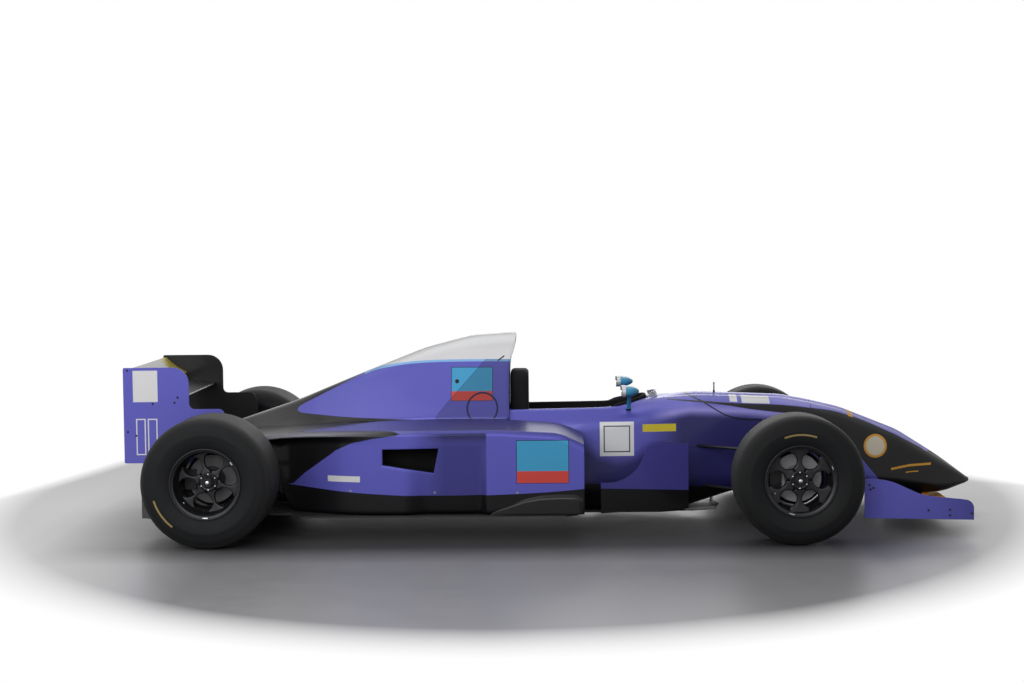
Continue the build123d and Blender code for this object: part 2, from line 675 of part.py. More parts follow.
def crash_structure():
    start = GEARBOX[-1]
    rows = [(start[0], CRASH_LOW_Z - 15, start[2] - 14, CRASH_HIGH_Z + 15),
            (CRASH_REAR_X, CRASH_LOW_Z, CRASH_HALF_WIDTH, CRASH_HIGH_Z)]
    body = Solid.make_loft([box_loop(*row) for row in rows], True)
    body += across(JACK_BAR_X, -JACK_COLLAR_Y, JACK_BAR_Z, JACK_COLLAR_R, 2 * JACK_COLLAR_Y)
    return body + across(JACK_BAR_X, -JACK_BAR_Y, JACK_BAR_Z, JACK_BAR_R, 2 * JACK_BAR_Y)


def rain_light():
    return block(CRASH_REAR_X - 18, CRASH_REAR_X, -40, 40, 262, 332)


# ---- suspension ----------------------------------------------------------------------------------
def eye(x, y, z):
    ring = Solid.make_cylinder(EYE_R, EYE_H, Plane(origin=(x, y, z - EYE_H / 2)))
    hole = Solid.make_cylinder(PIN_R + RUNNING_GAP, EYE_H + 2, Plane(origin=(x, y, z - EYE_H / 2 - 1)))
    return ring, hole


def blade(start, end, chord, thick):
    """Streamlined bar of oval section, its chord lying level."""
    a = Vector(*start)
    way = Vector(*end) - a
    level = way.cross(Vector(0, 0, 1))
    plane = Plane(origin=a, x_dir=level, z_dir=way)
    return extrude(plane * Ellipse(chord / 2, thick / 2), way.length)


def wishbone(tip, feet, body):
    """Two legs from the eye at tip to the two feet, each cut where it meets the body."""
    ring, hole = eye(*tip)
    legs = ring
    for foot in feet:
        legs += blade(tip, foot, ARM_CHORD, ARM_THICK) - body
    return legs - hole


def along(a, b, share):
    """Point at a share of the way from a to b."""
    return tuple(p + (q - p) * share for p, q in zip(a, b))


def front_arms():
    z = FRONT_TYRE_R
    tub = shell(TUB, -RUNNING_GAP)
    upper = wishbone((FRONT_AXLE_X, KINGPIN_Y, z + BALL_HALF_HEIGHT), FRONT_UPPER_FEET, tub)
    tip = (FRONT_AXLE_X, KINGPIN_Y, z - BALL_HALF_HEIGHT)
    lower = wishbone(tip, FRONT_LOWER_FEET, tub)
    push = blade(along(tip, FRONT_LOWER_FEET[0], PUSH_SHARE), FRONT_PUSH_TOP, PUSH_CHORD, PUSH_THICK)
    return [upper, lower + (push - tub)]


def rear_arms():
    z = REAR_TYRE_R
    tips = [(REAR_AXLE_X, REAR_UPRIGHT_Y, z + side * BALL_HALF_HEIGHT) for side in (1, -1)]
    body = gearbox() + rear_upright()
    arms = []
    for tip, feet in zip(tips, (REAR_UPPER_FEET, REAR_LOWER_FEET)):
        arms.append(blade(tip, feet[0], ARM_CHORD, ARM_THICK) + blade(tip, feet[1], ARM_CHORD, ARM_THICK))
    arms[1] += blade(along(tips[1], REAR_LOWER_FEET[0], PUSH_SHARE), REAR_PUSH_TOP, PUSH_CHORD, PUSH_THICK)
    return [arm - body for arm in arms]


def brake_caliper(x, y, z, r):
    """Caliper over the rear edge of the disc, with the disc's slot cut through."""
    body = block(x - r - CALIPER_OUT, x - r + CALIPER_IN, y - CALIPER_HALF_WIDTH, y + CALIPER_HALF_WIDTH,
                 z - CALIPER_HALF_TALL, z + CALIPER_HALF_TALL)
    slot = Solid.make_cylinder(r + PAD_GAP, DISC_THICK + 2 * PAD_GAP,
                               Plane(origin=(x, y - DISC_THICK / 2 - PAD_GAP, z), z_dir=(0, 1, 0)))
    return body - slot


def across(x, y, z, radius, length):
    """Cylinder along Y from y."""
    return Solid.make_cylinder(radius, length, Plane(origin=(x, y, z), z_dir=(0, 1, 0)))


def rear_upright():
    x, z, y = REAR_AXLE_X, REAR_TYRE_R, REAR_UPRIGHT_Y
    half, wide, tall = UPRIGHT_HALF, UPRIGHT_WIDE, UPRIGHT_TALL
    body = block(x - wide, x + wide, y - half, y + half, z - tall, z + tall)
    body += across(x, y - half, z, UPRIGHT_BORE_R, 2 * half)
    body += block(x - DISC_R - 12, x - HUB_SHAFT_R, y - half, y + REAR_DISC_OUT - CALIPER_HALF_WIDTH + 2,
                  z - CALIPER_BRIDGE_HALF, z + CALIPER_BRIDGE_HALF)
    body += brake_caliper(x, y + REAR_DISC_OUT, z, DISC_R)
    return body - across(x, y - half - 5, z, HUB_SHAFT_R + RUNNING_GAP, 2 * half + 20)


def knuckle():
    x, y, z = FRONT_AXLE_X, KINGPIN_Y, FRONT_TYRE_R
    half, wide = KNUCKLE_HALF, KNUCKLE_WIDE
    top = BALL_HALF_HEIGHT - EYE_H / 2 - EYE_GAP
    body = block(x - wide, x + wide, y - half, y + half, z - top, z + top)
    body += across(x, y - half, z, KNUCKLE_BOSS_R, 2 * half)
    body += Solid.make_cylinder(PIN_R, 2 * top + 2 * EYE_H + 10, Plane(origin=(x, y, z - top - EYE_H - 5)))
    body += block(x - DISC_R - 12, x - HUB_SHAFT_R, y - 20, y + half, z - CALIPER_BRIDGE_HALF,
                  z + CALIPER_BRIDGE_HALF)
    body += brake_caliper(x, y + FRONT_DISC_OUT, z, DISC_R)
    arm_low = RACK_Z - ROD_R - EYE_GAP - ARM_PLATE
    reach = STEER_ARM + ARM_PLATE
    body += block(x + wide - 15, x + reach, y - ROD_R, y + ROD_R, arm_low, arm_low + ARM_PLATE)
    body += Solid.make_cylinder(ARM_PIN_R, 4 * ARM_PLATE, Plane(origin=(x + STEER_ARM, y, arm_low)))
    return body - across(x, y - 2 * half, z, HUB_SHAFT_R + RUNNING_GAP, 4 * half)


def track_rods():
    x, y, z = FRONT_AXLE_X + STEER_ARM, KINGPIN_Y, RACK_Z
    bar = rod((x, -y + ROD_EYE_R - 5, z), (x, y - ROD_EYE_R + 5, z), ROD_R)
    for side in (1, -1):
        ring = Solid.make_cylinder(ROD_EYE_R, 2 * ROD_R - 2, Plane(origin=(x, side * y, z - ROD_R + 1)))
        bar += ring
        bar -= Solid.make_cylinder(ARM_PIN_R + ROD_EYE_DRIFT, 60, Plane(origin=(x, side * y, z - 30)))
    return bar


# ---- wheels --------------------------------------------------------------------------------------
def spun(x, y, z, profile):
    """Solid turned about the axle from (offset along Y, radius) corners."""
    wire = Wire.make_polygon([Vector(x, y + s, z + r) for s, r in profile], close=True)
    return Solid.revolve(Face(wire), 360, Axis((x, y, z), (0, 1, 0)))


def wheel(x, y, z, width, spoke_depth, shaft_in, turn):
    half = width / 2 - RIM_INSET
    bead = half - 12
    drop = bead - 60
    outer = [(-half, FLANGE_R), (-half + 8, FLANGE_R), (-bead, BEAD_R), (-drop, BEAD_R), (-drop + 20, BEAD_R - 12),
             (drop - 20, BEAD_R - 12), (drop, BEAD_R), (bead, BEAD_R), (half - 8, FLANGE_R), (half, FLANGE_R)]
    inner = [(s, r - BARREL_WALL) for s, r in reversed(outer)]
    rim = spun(x, y, z, outer + inner)
    face = width / 2 - spoke_depth
    reach = BEAD_R - BARREL_WALL / 2 - (0 if face - SPOKE_THICK > drop - 5 else 12)
    for k in range(SPOKES):
        angle = 360 / SPOKES * k + turn
        half = [(22, 30), (SPOKE_WAIST, 75), (SPOKE_WAIST, reach - 35), (SPOKE_FLARE, reach)]
        root = half + [(-a, r) for a, r in reversed(half)]
        wire = Wire.make_polygon([Vector(x + a, y + face - SPOKE_THICK, z + r) for a, r in root], close=True)
        spoke = Solid.extrude(Face(wire), Vector(0, SPOKE_THICK, 0))
        rim += spoke.rotate(Axis((x, y, z), (0, 1, 0)), angle)
    rim += across(x, y + face - SPOKE_THICK, z, HUB_BOSS_R, SPOKE_THICK + 4)
    nut = extrude(Plane(origin=(x, y + face, z), z_dir=(0, 1, 0)) * RegularPolygon(NUT_R, 6), 34)
    rim += nut
    rim += across(x, shaft_in, z, HUB_SHAFT_R, y + face - shaft_in)
    return rim


def brake_disc(x, y, z, y_disc, y_bell):
    """Disc ring with a bell that reaches out to the hub flange."""
    ring = across(x, y_disc - DISC_THICK / 2, z, DISC_R, DISC_THICK)
    bell = across(x, y_disc, z, BELL_R, y_bell - y_disc)
    return ring + bell


def tyre(x, y, z, radius, width):
    half = width / 2
    seat_half = half - RIM_INSET - 12
    flange = half - RIM_INSET - 8
    crown = [(seat_half - 22, BEAD_R), (seat_half, BEAD_R), (flange, FLANGE_R)]
    crown += [(half - 8, FLANGE_R + 22), (half, FLANGE_R + 60), (half - 4, radius - 50), (half - 20, radius - 18),
              (half - 45, radius - 4), (half - 75, radius)]
    inside = [(s - 14 if s > TYRE_WALL + 40 else s, r - TYRE_WALL) for s, r in reversed(crown[4:])]
    inside.append((seat_half - 26, BEAD_R + 20))
    loop = crown + [(-s, r) for s, r in reversed(crown)] + [(-s, r) for s, r in reversed(inside)] + inside
    return spun(x, y, z, loop)


def build_wheels():
    for name, x, y, z, width, depth, inner, disc_y, turn in (
        ("front", FRONT_AXLE_X, FRONT_WHEEL_Y, FRONT_TYRE_R, FRONT_TYRE_W, FRONT_SPOKE_DEPTH,
         KINGPIN_Y - KNUCKLE_HALF, KINGPIN_Y + FRONT_DISC_OUT, 0),
        ("rear", REAR_AXLE_X, REAR_WHEEL_Y, REAR_TYRE_R, REAR_TYRE_W, REAR_SPOKE_DEPTH,
         REAR_UPRIGHT_Y - UPRIGHT_HALF, REAR_UPRIGHT_Y + REAR_DISC_OUT, REAR_SPOKE_TURN),
    ):
        rim = wheel(x, y, z, width, depth, inner, turn)
        rim += brake_disc(x, y, z, disc_y, y + width / 2 - depth - SPOKE_THICK)
        rubber = tyre(x, y, z, z, width)
        for side in ("left", "right"):
            place = (lambda s: s) if side == "left" else mirrored
            save(place(rim), "wheel_" + name + "_" + side)
            save(place(rubber), "tyre_" + name + "_" + side)


def driveshaft():
    x, z = REAR_AXLE_X, REAR_TYRE_R
    inner = OUTPUT_FACE_Y + RUNNING_GAP
    outer = REAR_UPRIGHT_Y - UPRIGHT_HALF
    shaft = across(x, inner, z, SHAFT_R, outer - inner)
    shaft += across(x, outer - JOINT_LONG, z, JOINT_R, JOINT_LONG)
    shaft += across(x, inner, z, JOINT_R, JOINT_LONG)
    return shaft


def both_sides(make, name):
    left = make()
    save(left, name + "_left")
    save(mirrored(left), name + "_right")


def pair(make, name):
    left = make()
    pieces = left if isinstance(left, list) else [left]
    save(Compound(children=pieces + [mirrored(p) for p in pieces]), name)


def main():
    os.makedirs("parts", exist_ok=True)
    for make in (monocoque, nose_cone, engine_cover, headrest, seat, dash_panel, windscreen, pitot, floor_pan,
                 plank, diffuser, front_wing, rear_beam_wing, engine_block, gearbox, crash_structure, rain_light,
                 track_rods, steering_wheel):
        save(make(), make.__name__)
    both_sides(sidepod, "sidepod")
    both_sides(knuckle, "knuckle")
    both_sides(driveshaft, "driveshaft")
    pair(radiator, "radiators")
    pair(bargeboard, "bargeboards")
    pair(mirror_pod, "mirrors")
    pair(front_flap, "front_wing_flaps")
    pair(front_endplate, "front_endplates")
    pair(rear_endplate, "rear_endplates")
    pair(rear_upright, "rear_uprights")
    span = rear_span()
    save(foil(REAR_WING_LE, REAR_WING_CHORD, 12, -span, span, 0.1), "rear_wing")
    save(foil(REAR_FLAP_LE, REAR_FLAP_CHORD, 38, -span, span, 0.09), "rear_wing_flap")
    for name, arms in (("front_arms", front_arms()), ("rear_arms", rear_arms())):
        save(Compound(children=arms), name + "_left")
        save(Compound(children=[mirrored(a) for a in arms]), name + "_right")
    build_wheels()


main()
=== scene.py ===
"""Open wheel racing car: painted body, wheels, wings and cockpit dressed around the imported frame.

Metres. +X forward, +Y to the driver's left, +Z up, origin on the ground under the middle of the car.
Every new piece is a surface worked out on a grid by a formula and rides on the body that carries it.
"""
import math
from functools import partialmethod

import bpy
import numpy as np
from mathutils import Matrix


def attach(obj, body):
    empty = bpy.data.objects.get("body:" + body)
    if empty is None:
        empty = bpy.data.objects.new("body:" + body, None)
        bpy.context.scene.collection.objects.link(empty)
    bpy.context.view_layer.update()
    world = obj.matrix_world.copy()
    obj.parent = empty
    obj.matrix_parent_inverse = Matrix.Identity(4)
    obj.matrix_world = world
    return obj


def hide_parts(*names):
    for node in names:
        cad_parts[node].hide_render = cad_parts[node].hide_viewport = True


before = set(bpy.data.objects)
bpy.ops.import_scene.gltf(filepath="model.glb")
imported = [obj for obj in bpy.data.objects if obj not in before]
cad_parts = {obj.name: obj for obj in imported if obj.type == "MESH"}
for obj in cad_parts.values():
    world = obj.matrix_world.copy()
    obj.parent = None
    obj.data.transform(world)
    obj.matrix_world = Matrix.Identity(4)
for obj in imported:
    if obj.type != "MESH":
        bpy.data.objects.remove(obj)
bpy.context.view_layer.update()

# ---- sizes that the looks share with the frame
REAR_AXLE_X = -1.735
FRONT_AXLE_X = 1.195
KEEL_TOP = 0.072
FLOOR_TOP = 0.122
# inner and outer face of the endplates
REAR_PLATE_Y = (0.4955, 0.4995)
FRONT_PLATE_Y = (0.6955, 0.6995)

# ---- camera, angles in degrees, lens and sensor in millimetres
CAMERA_PLACE = (-0.063, -9.666, 1.539)
CAMERA_YAW = -0.998
CAMERA_PITCH = 3.399
CAMERA_ROLL = -0.565
CAMERA_LENS = 62.64
SENSOR_WIDTH = 36.0

# ---- light
WORLD_FILL = 0.12
LAMP_AIM = (0, 0, 0.3)
# columns: name, place, size, power in watts
LAMPS = (
    ("overhead", (-0.5, 0.4, 4.4), (6.5, 3.6), 90),
    ("side_fill", (-2.4, -6.0, 2.7), (6.4, 2.2), 245),
    ("far_fill", (1.0, 6.4, 2.4), (5.0, 2.0), 70),
)

# ---- colours, as linear red, green, blue
VIOLET = (0.100, 0.098, 0.44)
# painted shade on the violet paint
SHADE_VIOLET = (0.022, 0.020, 0.115)
# painted highlight on the violet paint
HIGHLIGHT_VIOLET = (0.34, 0.32, 0.74)
BOARD_VIOLET = (0.062, 0.058, 0.29)
BLACK_LACQUER = (0.005, 0.005, 0.006)
AIRBOX_WHITE = (0.62, 0.62, 0.63)
SKY_BLUE = (0.22, 0.42, 0.72)
TURQUOISE = (0.05, 0.30, 0.52)
CORAL = (0.55, 0.06, 0.05)
YELLOW = (0.62, 0.50, 0.03)
AMBER = (0.62, 0.30, 0.03)
CREAM = (0.60, 0.55, 0.42)
GRAPHITE = (0.010, 0.0105, 0.013)
TYRE_GOLD = (0.33, 0.24, 0.10)
SEAM_BLACK = (0.004, 0.004, 0.006)
# half width of the ramp at a painted edge, and at a fine line
PAINT_EDGE = 0.0012
FINE_EDGE = 0.0008

# ---- body stations
# columns: x, then four corners of the half section from the bottom up, as z, half width
TUB = (
    (-0.290, KEEL_TOP, 0.215, 0.190, 0.270, 0.530, 0.262, 0.611, 0.222),
    (0.140, KEEL_TOP, 0.212, 0.190, 0.270, 0.530, 0.258, 0.616, 0.214),
    (0.290, KEEL_TOP, 0.203, 0.190, 0.268, 0.540, 0.250, 0.619, 0.201),
    (0.370, KEEL_TOP, 0.197, 0.190, 0.265, 0.560, 0.244, 0.637, 0.172),
    (0.475, KEEL_TOP, 0.190, 0.190, 0.262, 0.585, 0.238, 0.655, 0.135),
    (0.690, 0.078, 0.172, 0.209, 0.246, 0.614, 0.201, 0.669, 0.117),
    (0.760, 0.098, 0.165, 0.215, 0.240, 0.622, 0.190, 0.674, 0.112),
    (0.946, 0.158, 0.149, 0.226, 0.216, 0.614, 0.174, 0.666, 0.100),
    (1.215, 0.165, 0.125, 0.240, 0.182, 0.602, 0.152, 0.655, 0.084),
    (1.360, 0.150, 0.115, 0.232, 0.170, 0.580, 0.140, 0.628, 0.076),
)
NOSE = TUB[-2:] + (
    (1.535, 0.140, 0.104, 0.215, 0.152, 0.535, 0.124, 0.585, 0.064),
    (1.848, 0.130, 0.086, 0.190, 0.126, 0.412, 0.100, 0.459, 0.050),
    (2.042, 0.130, 0.072, 0.168, 0.104, 0.300, 0.084, 0.335, 0.044),
    (2.110, 0.140, 0.062, 0.168, 0.090, 0.262, 0.070, 0.292, 0.038),
    (2.180, 0.166, 0.044, 0.180, 0.064, 0.224, 0.052, 0.243, 0.032),
    (2.241, 0.182, 0.020, 0.186, 0.030, 0.194, 0.026, 0.199, 0.016),
)
COVER = (
    (-1.713, 0.440, 0.130, 0.470, 0.095, 0.510, 0.060, 0.553, 0.025),
    (-1.391, 0.520, 0.215, 0.560, 0.150, 0.610, 0.090, 0.659, 0.035),
    (-1.041, 0.552, 0.262, 0.620, 0.190, 0.710, 0.110, 0.802, 0.045),
    (-0.700, 0.552, 0.276, 0.650, 0.216, 0.790, 0.140, 0.935, 0.062),
    (-0.450, 0.552, 0.280, 0.650, 0.228, 0.800, 0.160, 1.001, 0.084),
    (-0.190, 0.552, 0.280, 0.640, 0.230, 0.800, 0.160, 1.016, 0.092),
)
HULL_SOFT = (0.7, 0.8, 0.8, 0.9)
# steps of each corner's arc, points along each edge, and the column where the top edge starts
HULL_ARC, HULL_FLAT = 10, 10
HULL_TOP = 4 * (HULL_ARC + 1) + 3 * HULL_FLAT
# columns: x, bottom z, wall half width, shelf half width, wall top z, shoulder z, deck z at the edge, at the cover
POD = (
    (-1.660, 0.450, 0.300, 0.470, 0.455, 0.474, 0.492, 0.512),
    (-1.550, 0.448, 0.360, 0.535, 0.465, 0.488, 0.506, 0.525),
    (-1.470, 0.400, 0.430, 0.570, 0.475, 0.501, 0.519, 0.532),
    (-1.400, FLOOR_TOP, 0.490, 0.598, 0.485, 0.512, 0.530, 0.540),
    (-1.250, FLOOR_TOP, 0.585, 0.645, 0.495, 0.522, 0.539, 0.550),
    (-1.100, FLOOR_TOP, 0.655, 0.675, 0.495, 0.528, 0.545, 0.557),
    (-0.951, FLOOR_TOP, 0.692, 0.694, 0.490, 0.532, 0.549, 0.566),
    (-0.731, FLOOR_TOP, 0.700, 0.700, 0.490, 0.534, 0.551, 0.572),
    (-0.292, FLOOR_TOP, 0.700, 0.700, 0.480, 0.534, 0.553, 0.574),
    (0.019, FLOOR_TOP, 0.700, 0.700, 0.450, 0.512, 0.536, 0.552),
    (0.140, FLOOR_TOP, 0.700, 0.700, 0.390, 0.448, 0.478, 0.500),
)
POD_SOFT = (0.15, 0.15, 0.6, 0.6, 0.5, 0.3)
# the hot air outlet in the flank, as x and z of its lower and upper edge from rear to front
OUTLET_LOW = ((-0.886, 0.378), (-0.622, 0.334))
OUTLET_TOP = ((-0.886, 0.462), (-0.594, 0.466))
OUTLET_DEPTH = 0.12
# columns: x, top z of the swelling low on the pod's side
FAIRING = ((-0.340, 0.126), (-0.300, 0.150), (-0.166, 0.205), (-0.080, 0.223), (0.020, 0.228), (0.105, 0.226),
           (0.132, 0.205))

# ---- wheels
# columns: name, x, y, z (the tyre's radius as well), tyre width, depth of the spoked face, turn of the spokes in
# degrees, radius of the tyre's mark and its span in degrees, y of the shaft's inner end and of the disc, radius of
# the round windows
WHEELS = (
    ("front", FRONT_AXLE_X, 0.845, 0.321, 0.300, 0.062, 0.0, 0.231, (71, 111), 0.725, 0.815, 0.041),
    ("rear", REAR_AXLE_X, 0.805, 0.327, 0.380, 0.112, 15.0, 0.262, (197, 232), 0.640, 0.753, 0.0465),
)
BEAD_R = 0.166
FLANGE_R = 0.178
# the barrel's lip inside the tyre's width, the spokes' depth at the hub, the guard behind the disc
LIP_INSET = 0.014
SPOKE_DEPTH = 0.030
GUARD_GAP = 0.020

# ---- screws on the left endplates: y of the face, then x and z
FASTENERS = (
    (REAR_PLATE_Y[1], ((-2.218, 0.859), (-2.088, 0.685), (-1.958, 0.716), (-1.975, 0.690), (-2.221, 0.539),
                       (-2.177, 0.519))),
    (FRONT_PLATE_Y[1], ((1.579, 0.262), (1.599, 0.247), (1.585, 0.240), (1.876, 0.131), (1.984, 0.134),
                        (1.984, 0.105), (2.094, 0.114))),
)

# ---- suspension, left side
ARM_THICKNESS = 0.014
WISHBONE_CHORD = 0.034
PUSHROD_CHORD = 0.024
# columns: piece, chord, outer end, inner ends; the legs of a wishbone meet in a joint
ARMS = (
    ("front_arms", WISHBONE_CHORD, (FRONT_AXLE_X, 0.755, 0.431), ((0.714, 0.150, 0.410), (1.330, 0.060, 0.428))),
    ("front_arms", WISHBONE_CHORD, (FRONT_AXLE_X, 0.755, 0.211), ((0.740, 0.150, 0.200), (1.325, 0.060, 0.205))),
    ("front_arms", PUSHROD_CHORD, (1.1495, 0.6945, 0.2099), ((1.105, 0.110, 0.570),)),
    ("rear_arms", WISHBONE_CHORD, (REAR_AXLE_X, 0.675, 0.437), ((-1.560, 0.060, 0.400), (-1.850, 0.060, 0.395))),
    ("rear_arms", WISHBONE_CHORD, (REAR_AXLE_X, 0.675, 0.217), ((-1.480, 0.060, 0.160), (-1.860, 0.060, 0.215))),
    ("rear_arms", PUSHROD_CHORD, (-1.7095, 0.6135, 0.2113), ((-1.600, 0.060, 0.410),)),
)


# ================ shapes
def eased(table, ease=0.03, pitch=0.004):
    """Curve through the rows of a table: straight between rows, then averaged twice over a window as long as ease.
    The end rows are carried on along their own slope, so that the averages leave them in place."""
    rows = np.array(sorted(table), float)
    reach = 3 * ease + pitch
    ends = []
    for a, b in ((rows[0], rows[1]), (rows[-1], rows[-2])):
        step = math.copysign(reach, a[0] - b[0])
        ends.append(a + (a - b) / (a[0] - b[0]) * step)
    rows = np.vstack([ends[0], rows, ends[1]])
    fine = np.arange(rows[0, 0], rows[-1, 0], pitch)
    window = np.ones(2 * int(ease / pitch / 2) + 1)
    window /= len(window)
    window = np.convolve(window, window)
    half = len(window) // 2
    columns = [np.convolve(np.interp(fine, rows[:, 0], c), window, "valid") for c in rows.T[1:]]
    fine = fine[half:len(fine) - half]
    return lambda at: np.stack([np.interp(at, fine, c) for c in columns], -1)


def unit(v):
    """Each vector over its own length."""
    return v / np.maximum(np.linalg.norm(v, axis=-1, keepdims=True), 1e-9)


def ring(corners, softness, arc, flat, flats=None):
    """Closed section through corners [..., corner, 3]: each corner is a parabola of arc steps that starts and ends
    softness of half the shorter edge away, and flat straight points, or the shares in flats, fill each edge."""
    softness = np.asarray(softness, float)
    before = np.roll(corners, 1, -2) - corners
    after = np.roll(corners, -1, -2) - corners
    shorter = np.minimum(np.linalg.norm(before, axis=-1), np.linalg.norm(after, axis=-1))
    reach = (softness * 0.5 * shorter)[..., None]
    start = corners + unit(before) * reach
    end = corners + unit(after) * reach
    t = np.linspace(0, 1, arc + 1)[:, None]
    rows = []
    count = corners.shape[-2]
    for i in range(count):
        a, p, b = start[..., i:i + 1, :], corners[..., i:i + 1, :], end[..., i:i + 1, :]
        rows.append((1 - t) ** 2 * a + 2 * t * (1 - t) * p + t ** 2 * b)
        c = start[..., (i + 1) % count:(i + 1) % count + 1, :]
        s = flats[i] if flats and i in flats else np.linspace(0, 1, flat + 2)[1:-1]
        rows.append(b + (c - b) * np.asarray(s)[:, None])
    return np.concatenate(rows, -2)


def hull_corners(x, row):
    """Eight corners of a symmetric section from its half: z and half width of four corners."""
    z, y = row[..., 0::2], row[..., 1::2]
    half = np.stack([np.broadcast_to(x[..., None], z.shape), y, z], -1)
    other = half[..., ::-1, :] * (1, -1, 1)
    return np.concatenate([half, other], -2)


def smooth_step(low, high, value):
    """0 up to low, 1 from high on, and 3 t^2 - 2 t^3 of the share t of the way between them."""
    t = np.clip((value - low) / (high - low), 0, 1)
    return t * t * (3 - 2 * t)


class Patch:
    """Points and faces of one surface, with the number of its finish, or one number for each face."""

    def __init__(self, points, faces, finish=0):
        self.points = np.asarray(points, float).reshape(-1, 3)
        self.faces = faces
        self.finish = finish

    def mirrored(self):
        """The same surface on the other side: Y changes its sign and every face its turn."""
        return Patch(self.points * (1, -1, 1), [f[::-1] for f in self.faces], self.finish)

    def outward(self):
        """Faces turned so that the closed surface holds a positive volume, summed over its faces."""
        volume = 0.0
        for size in {len(f) for f in self.faces}:
            index = np.array([f for f in self.faces if len(f) == size])
            corner = self.points[index]
            for k in range(1, size - 1):
                volume += np.einsum("ij,ij->", corner[:, 0], np.cross(corner[:, k], corner[:, k + 1]))
        if volume < 0:
            self.faces = [f[::-1] for f in self.faces]
        return self


def on_side(side, *patches):
    """Patches made for the left side, mirrored for the right."""
    return [p.mirrored() if side == "right" else p for p in patches]


def both_sides(*patches):
    """Patches made for the left side and after them the same for the right."""
    return on_side("left", *patches) + on_side("right", *patches)


def web(grid, along=False, caps=True, finish=0):
    """Patch over a grid [rows, columns, 3]: quads between neighbours, closed round the columns, closed round the
    rows as well by along, or else with both end rows closed by fans by caps."""
    grid = np.asarray(grid, float)
    rows, columns = grid.shape[:2]
    index = np.arange(rows * columns).reshape(rows, columns)
    index = np.concatenate([index, index[:, :1]], 1)
    if along:
        index = np.concatenate([index, index[:1]], 0)
    quads = np.stack([index[:-1, :-1], index[1:, :-1], index[1:, 1:], index[:-1, 1:]], -1).reshape(-1, 4)
    faces = quads.tolist()
    points = grid.reshape(-1, 3)
    if caps and not along:
        for row, turn in ((0, 1), (rows - 1, -1)):
            middle = len(points)
            points = np.vstack([points, grid[row].mean(0)])
            edge = index[row]
            fan = np.stack([edge[:-1], edge[1:], np.full(len(edge) - 1, middle)], -1)[:, ::turn]
            faces += fan.tolist()
    return Patch(points, faces, finish)


def painted(patch, marked):
    """Patch over a grid whose faces with a marked corner, and fans with a marked row, take the second finish."""
    around = np.concatenate([marked, marked[:, :1]], 1)
    faces = around[:-1, :-1] | around[1:, :-1] | around[:-1, 1:] | around[1:, 1:]
    finish = faces.reshape(-1).astype(int).tolist()
    caps = len(patch.faces) - len(finish)
    ends = [int(marked[0].all())] * (caps // 2) + [int(marked[-1].all())] * (caps - caps // 2)
    patch.finish = finish + ends
    return patch


def oval(count, square=(1, 1)):
    """Cosine and sine of count even steps round a full turn, each with its sign and its size to a power; powers
    under 1 make the round squarer."""
    angle = np.linspace(0, 2 * math.pi, count, endpoint=False)
    return (np.sign(v) * abs(v) ** power for v, power in zip((np.cos(angle), np.sin(angle)), square))


def spun(profile, centre, turns, finish=0):
    """Closed loop of (offset along Y, radius) turned round the axle through centre: x and z are the radius times
    the cosine and sine of each turn."""
    profile = np.asarray(profile, float)
    c, s = oval(turns)
    x = centre[0] + profile[:, 1] * c[:, None]
    z = centre[2] + profile[:, 1] * s[:, None]
    y = np.broadcast_to(centre[1] + profile[:, 0], x.shape)
    return web(np.stack([x, y, z], -1), True, finish=finish).outward()


def rounded(corners, radii, steps=8):
    """Closed outline of (a, b) points with an arc of its own radius at each corner: the arc starts the radius over
    the tangent of the half angle away, about a middle the radius over its sine away."""
    corners = np.asarray(corners, float)
    radii = np.broadcast_to(radii, (len(corners),))
    back = unit(np.roll(corners, 1, 0) - corners)
    ahead = unit(np.roll(corners, -1, 0) - corners)
    cosine = np.clip((back * ahead).sum(-1), -0.9999, 0.9999)
    half = np.arccos(cosine) / 2
    reach = (radii / np.tan(half))[:, None]
    middle = corners + unit(back + ahead) * (radii / np.sin(half))[:, None]
    start = corners + back * reach - middle
    end = corners + ahead * reach - middle
    t = np.linspace(0, 1, steps + 1)[None, :, None]
    turn = (math.pi - 2 * half)[:, None, None]
    arc = (np.sin((1 - t) * turn) * start[:, None] + np.sin(t * turn) * end[:, None]) / np.sin(turn)
    return (middle[:, None] + arc).reshape(-1, 2)


def plate(outline, low, high):
    """Flat upright plate over an outline of (x, z), from low to high along Y."""
    count = len(outline)
    grid = np.stack([np.stack([outline[:, 0], np.full(count, y), outline[:, 1]], -1) for y in (low, high)])
    patch = web(grid, caps=False)
    patch.faces += [list(range(count)), list(range(count, 2 * count))[::-1]]
    return patch.outward()


def tube(path, radius, sides=12, flatness=1.0, finish=0, closed=False):
    """Round or oval bar along a path: rings stand square to the path, radius may change along it, and flatness is
    the share of it that is left upwards."""
    path = np.asarray(path, float)
    radius = np.broadcast_to(radius, (len(path),))[:, None, None]
    way = unit(np.gradient(path, axis=0))
    if closed:
        way = unit(np.roll(path, -1, 0) - np.roll(path, 1, 0))
    side = np.cross(way, (0, 0, 1.0))
    side[np.linalg.norm(side, axis=-1) < 1e-3] = (1, 0, 0)
    side = unit(side)
    up = np.cross(side, way)
    c, s = (v[None, :, None] for v in oval(sides))
    grid = path[:, None] + radius * (c * side[:, None] + flatness * s * up[:, None])
    return web(grid, closed, finish=finish).outward()


def followed(path, count):
    """Straight run through the points of a path, cut into count points, with the place of each along it."""
    t = np.linspace(0, len(path) - 1, count)
    return np.stack([np.interp(t, np.arange(len(path)), c) for c in path.T], -1), t


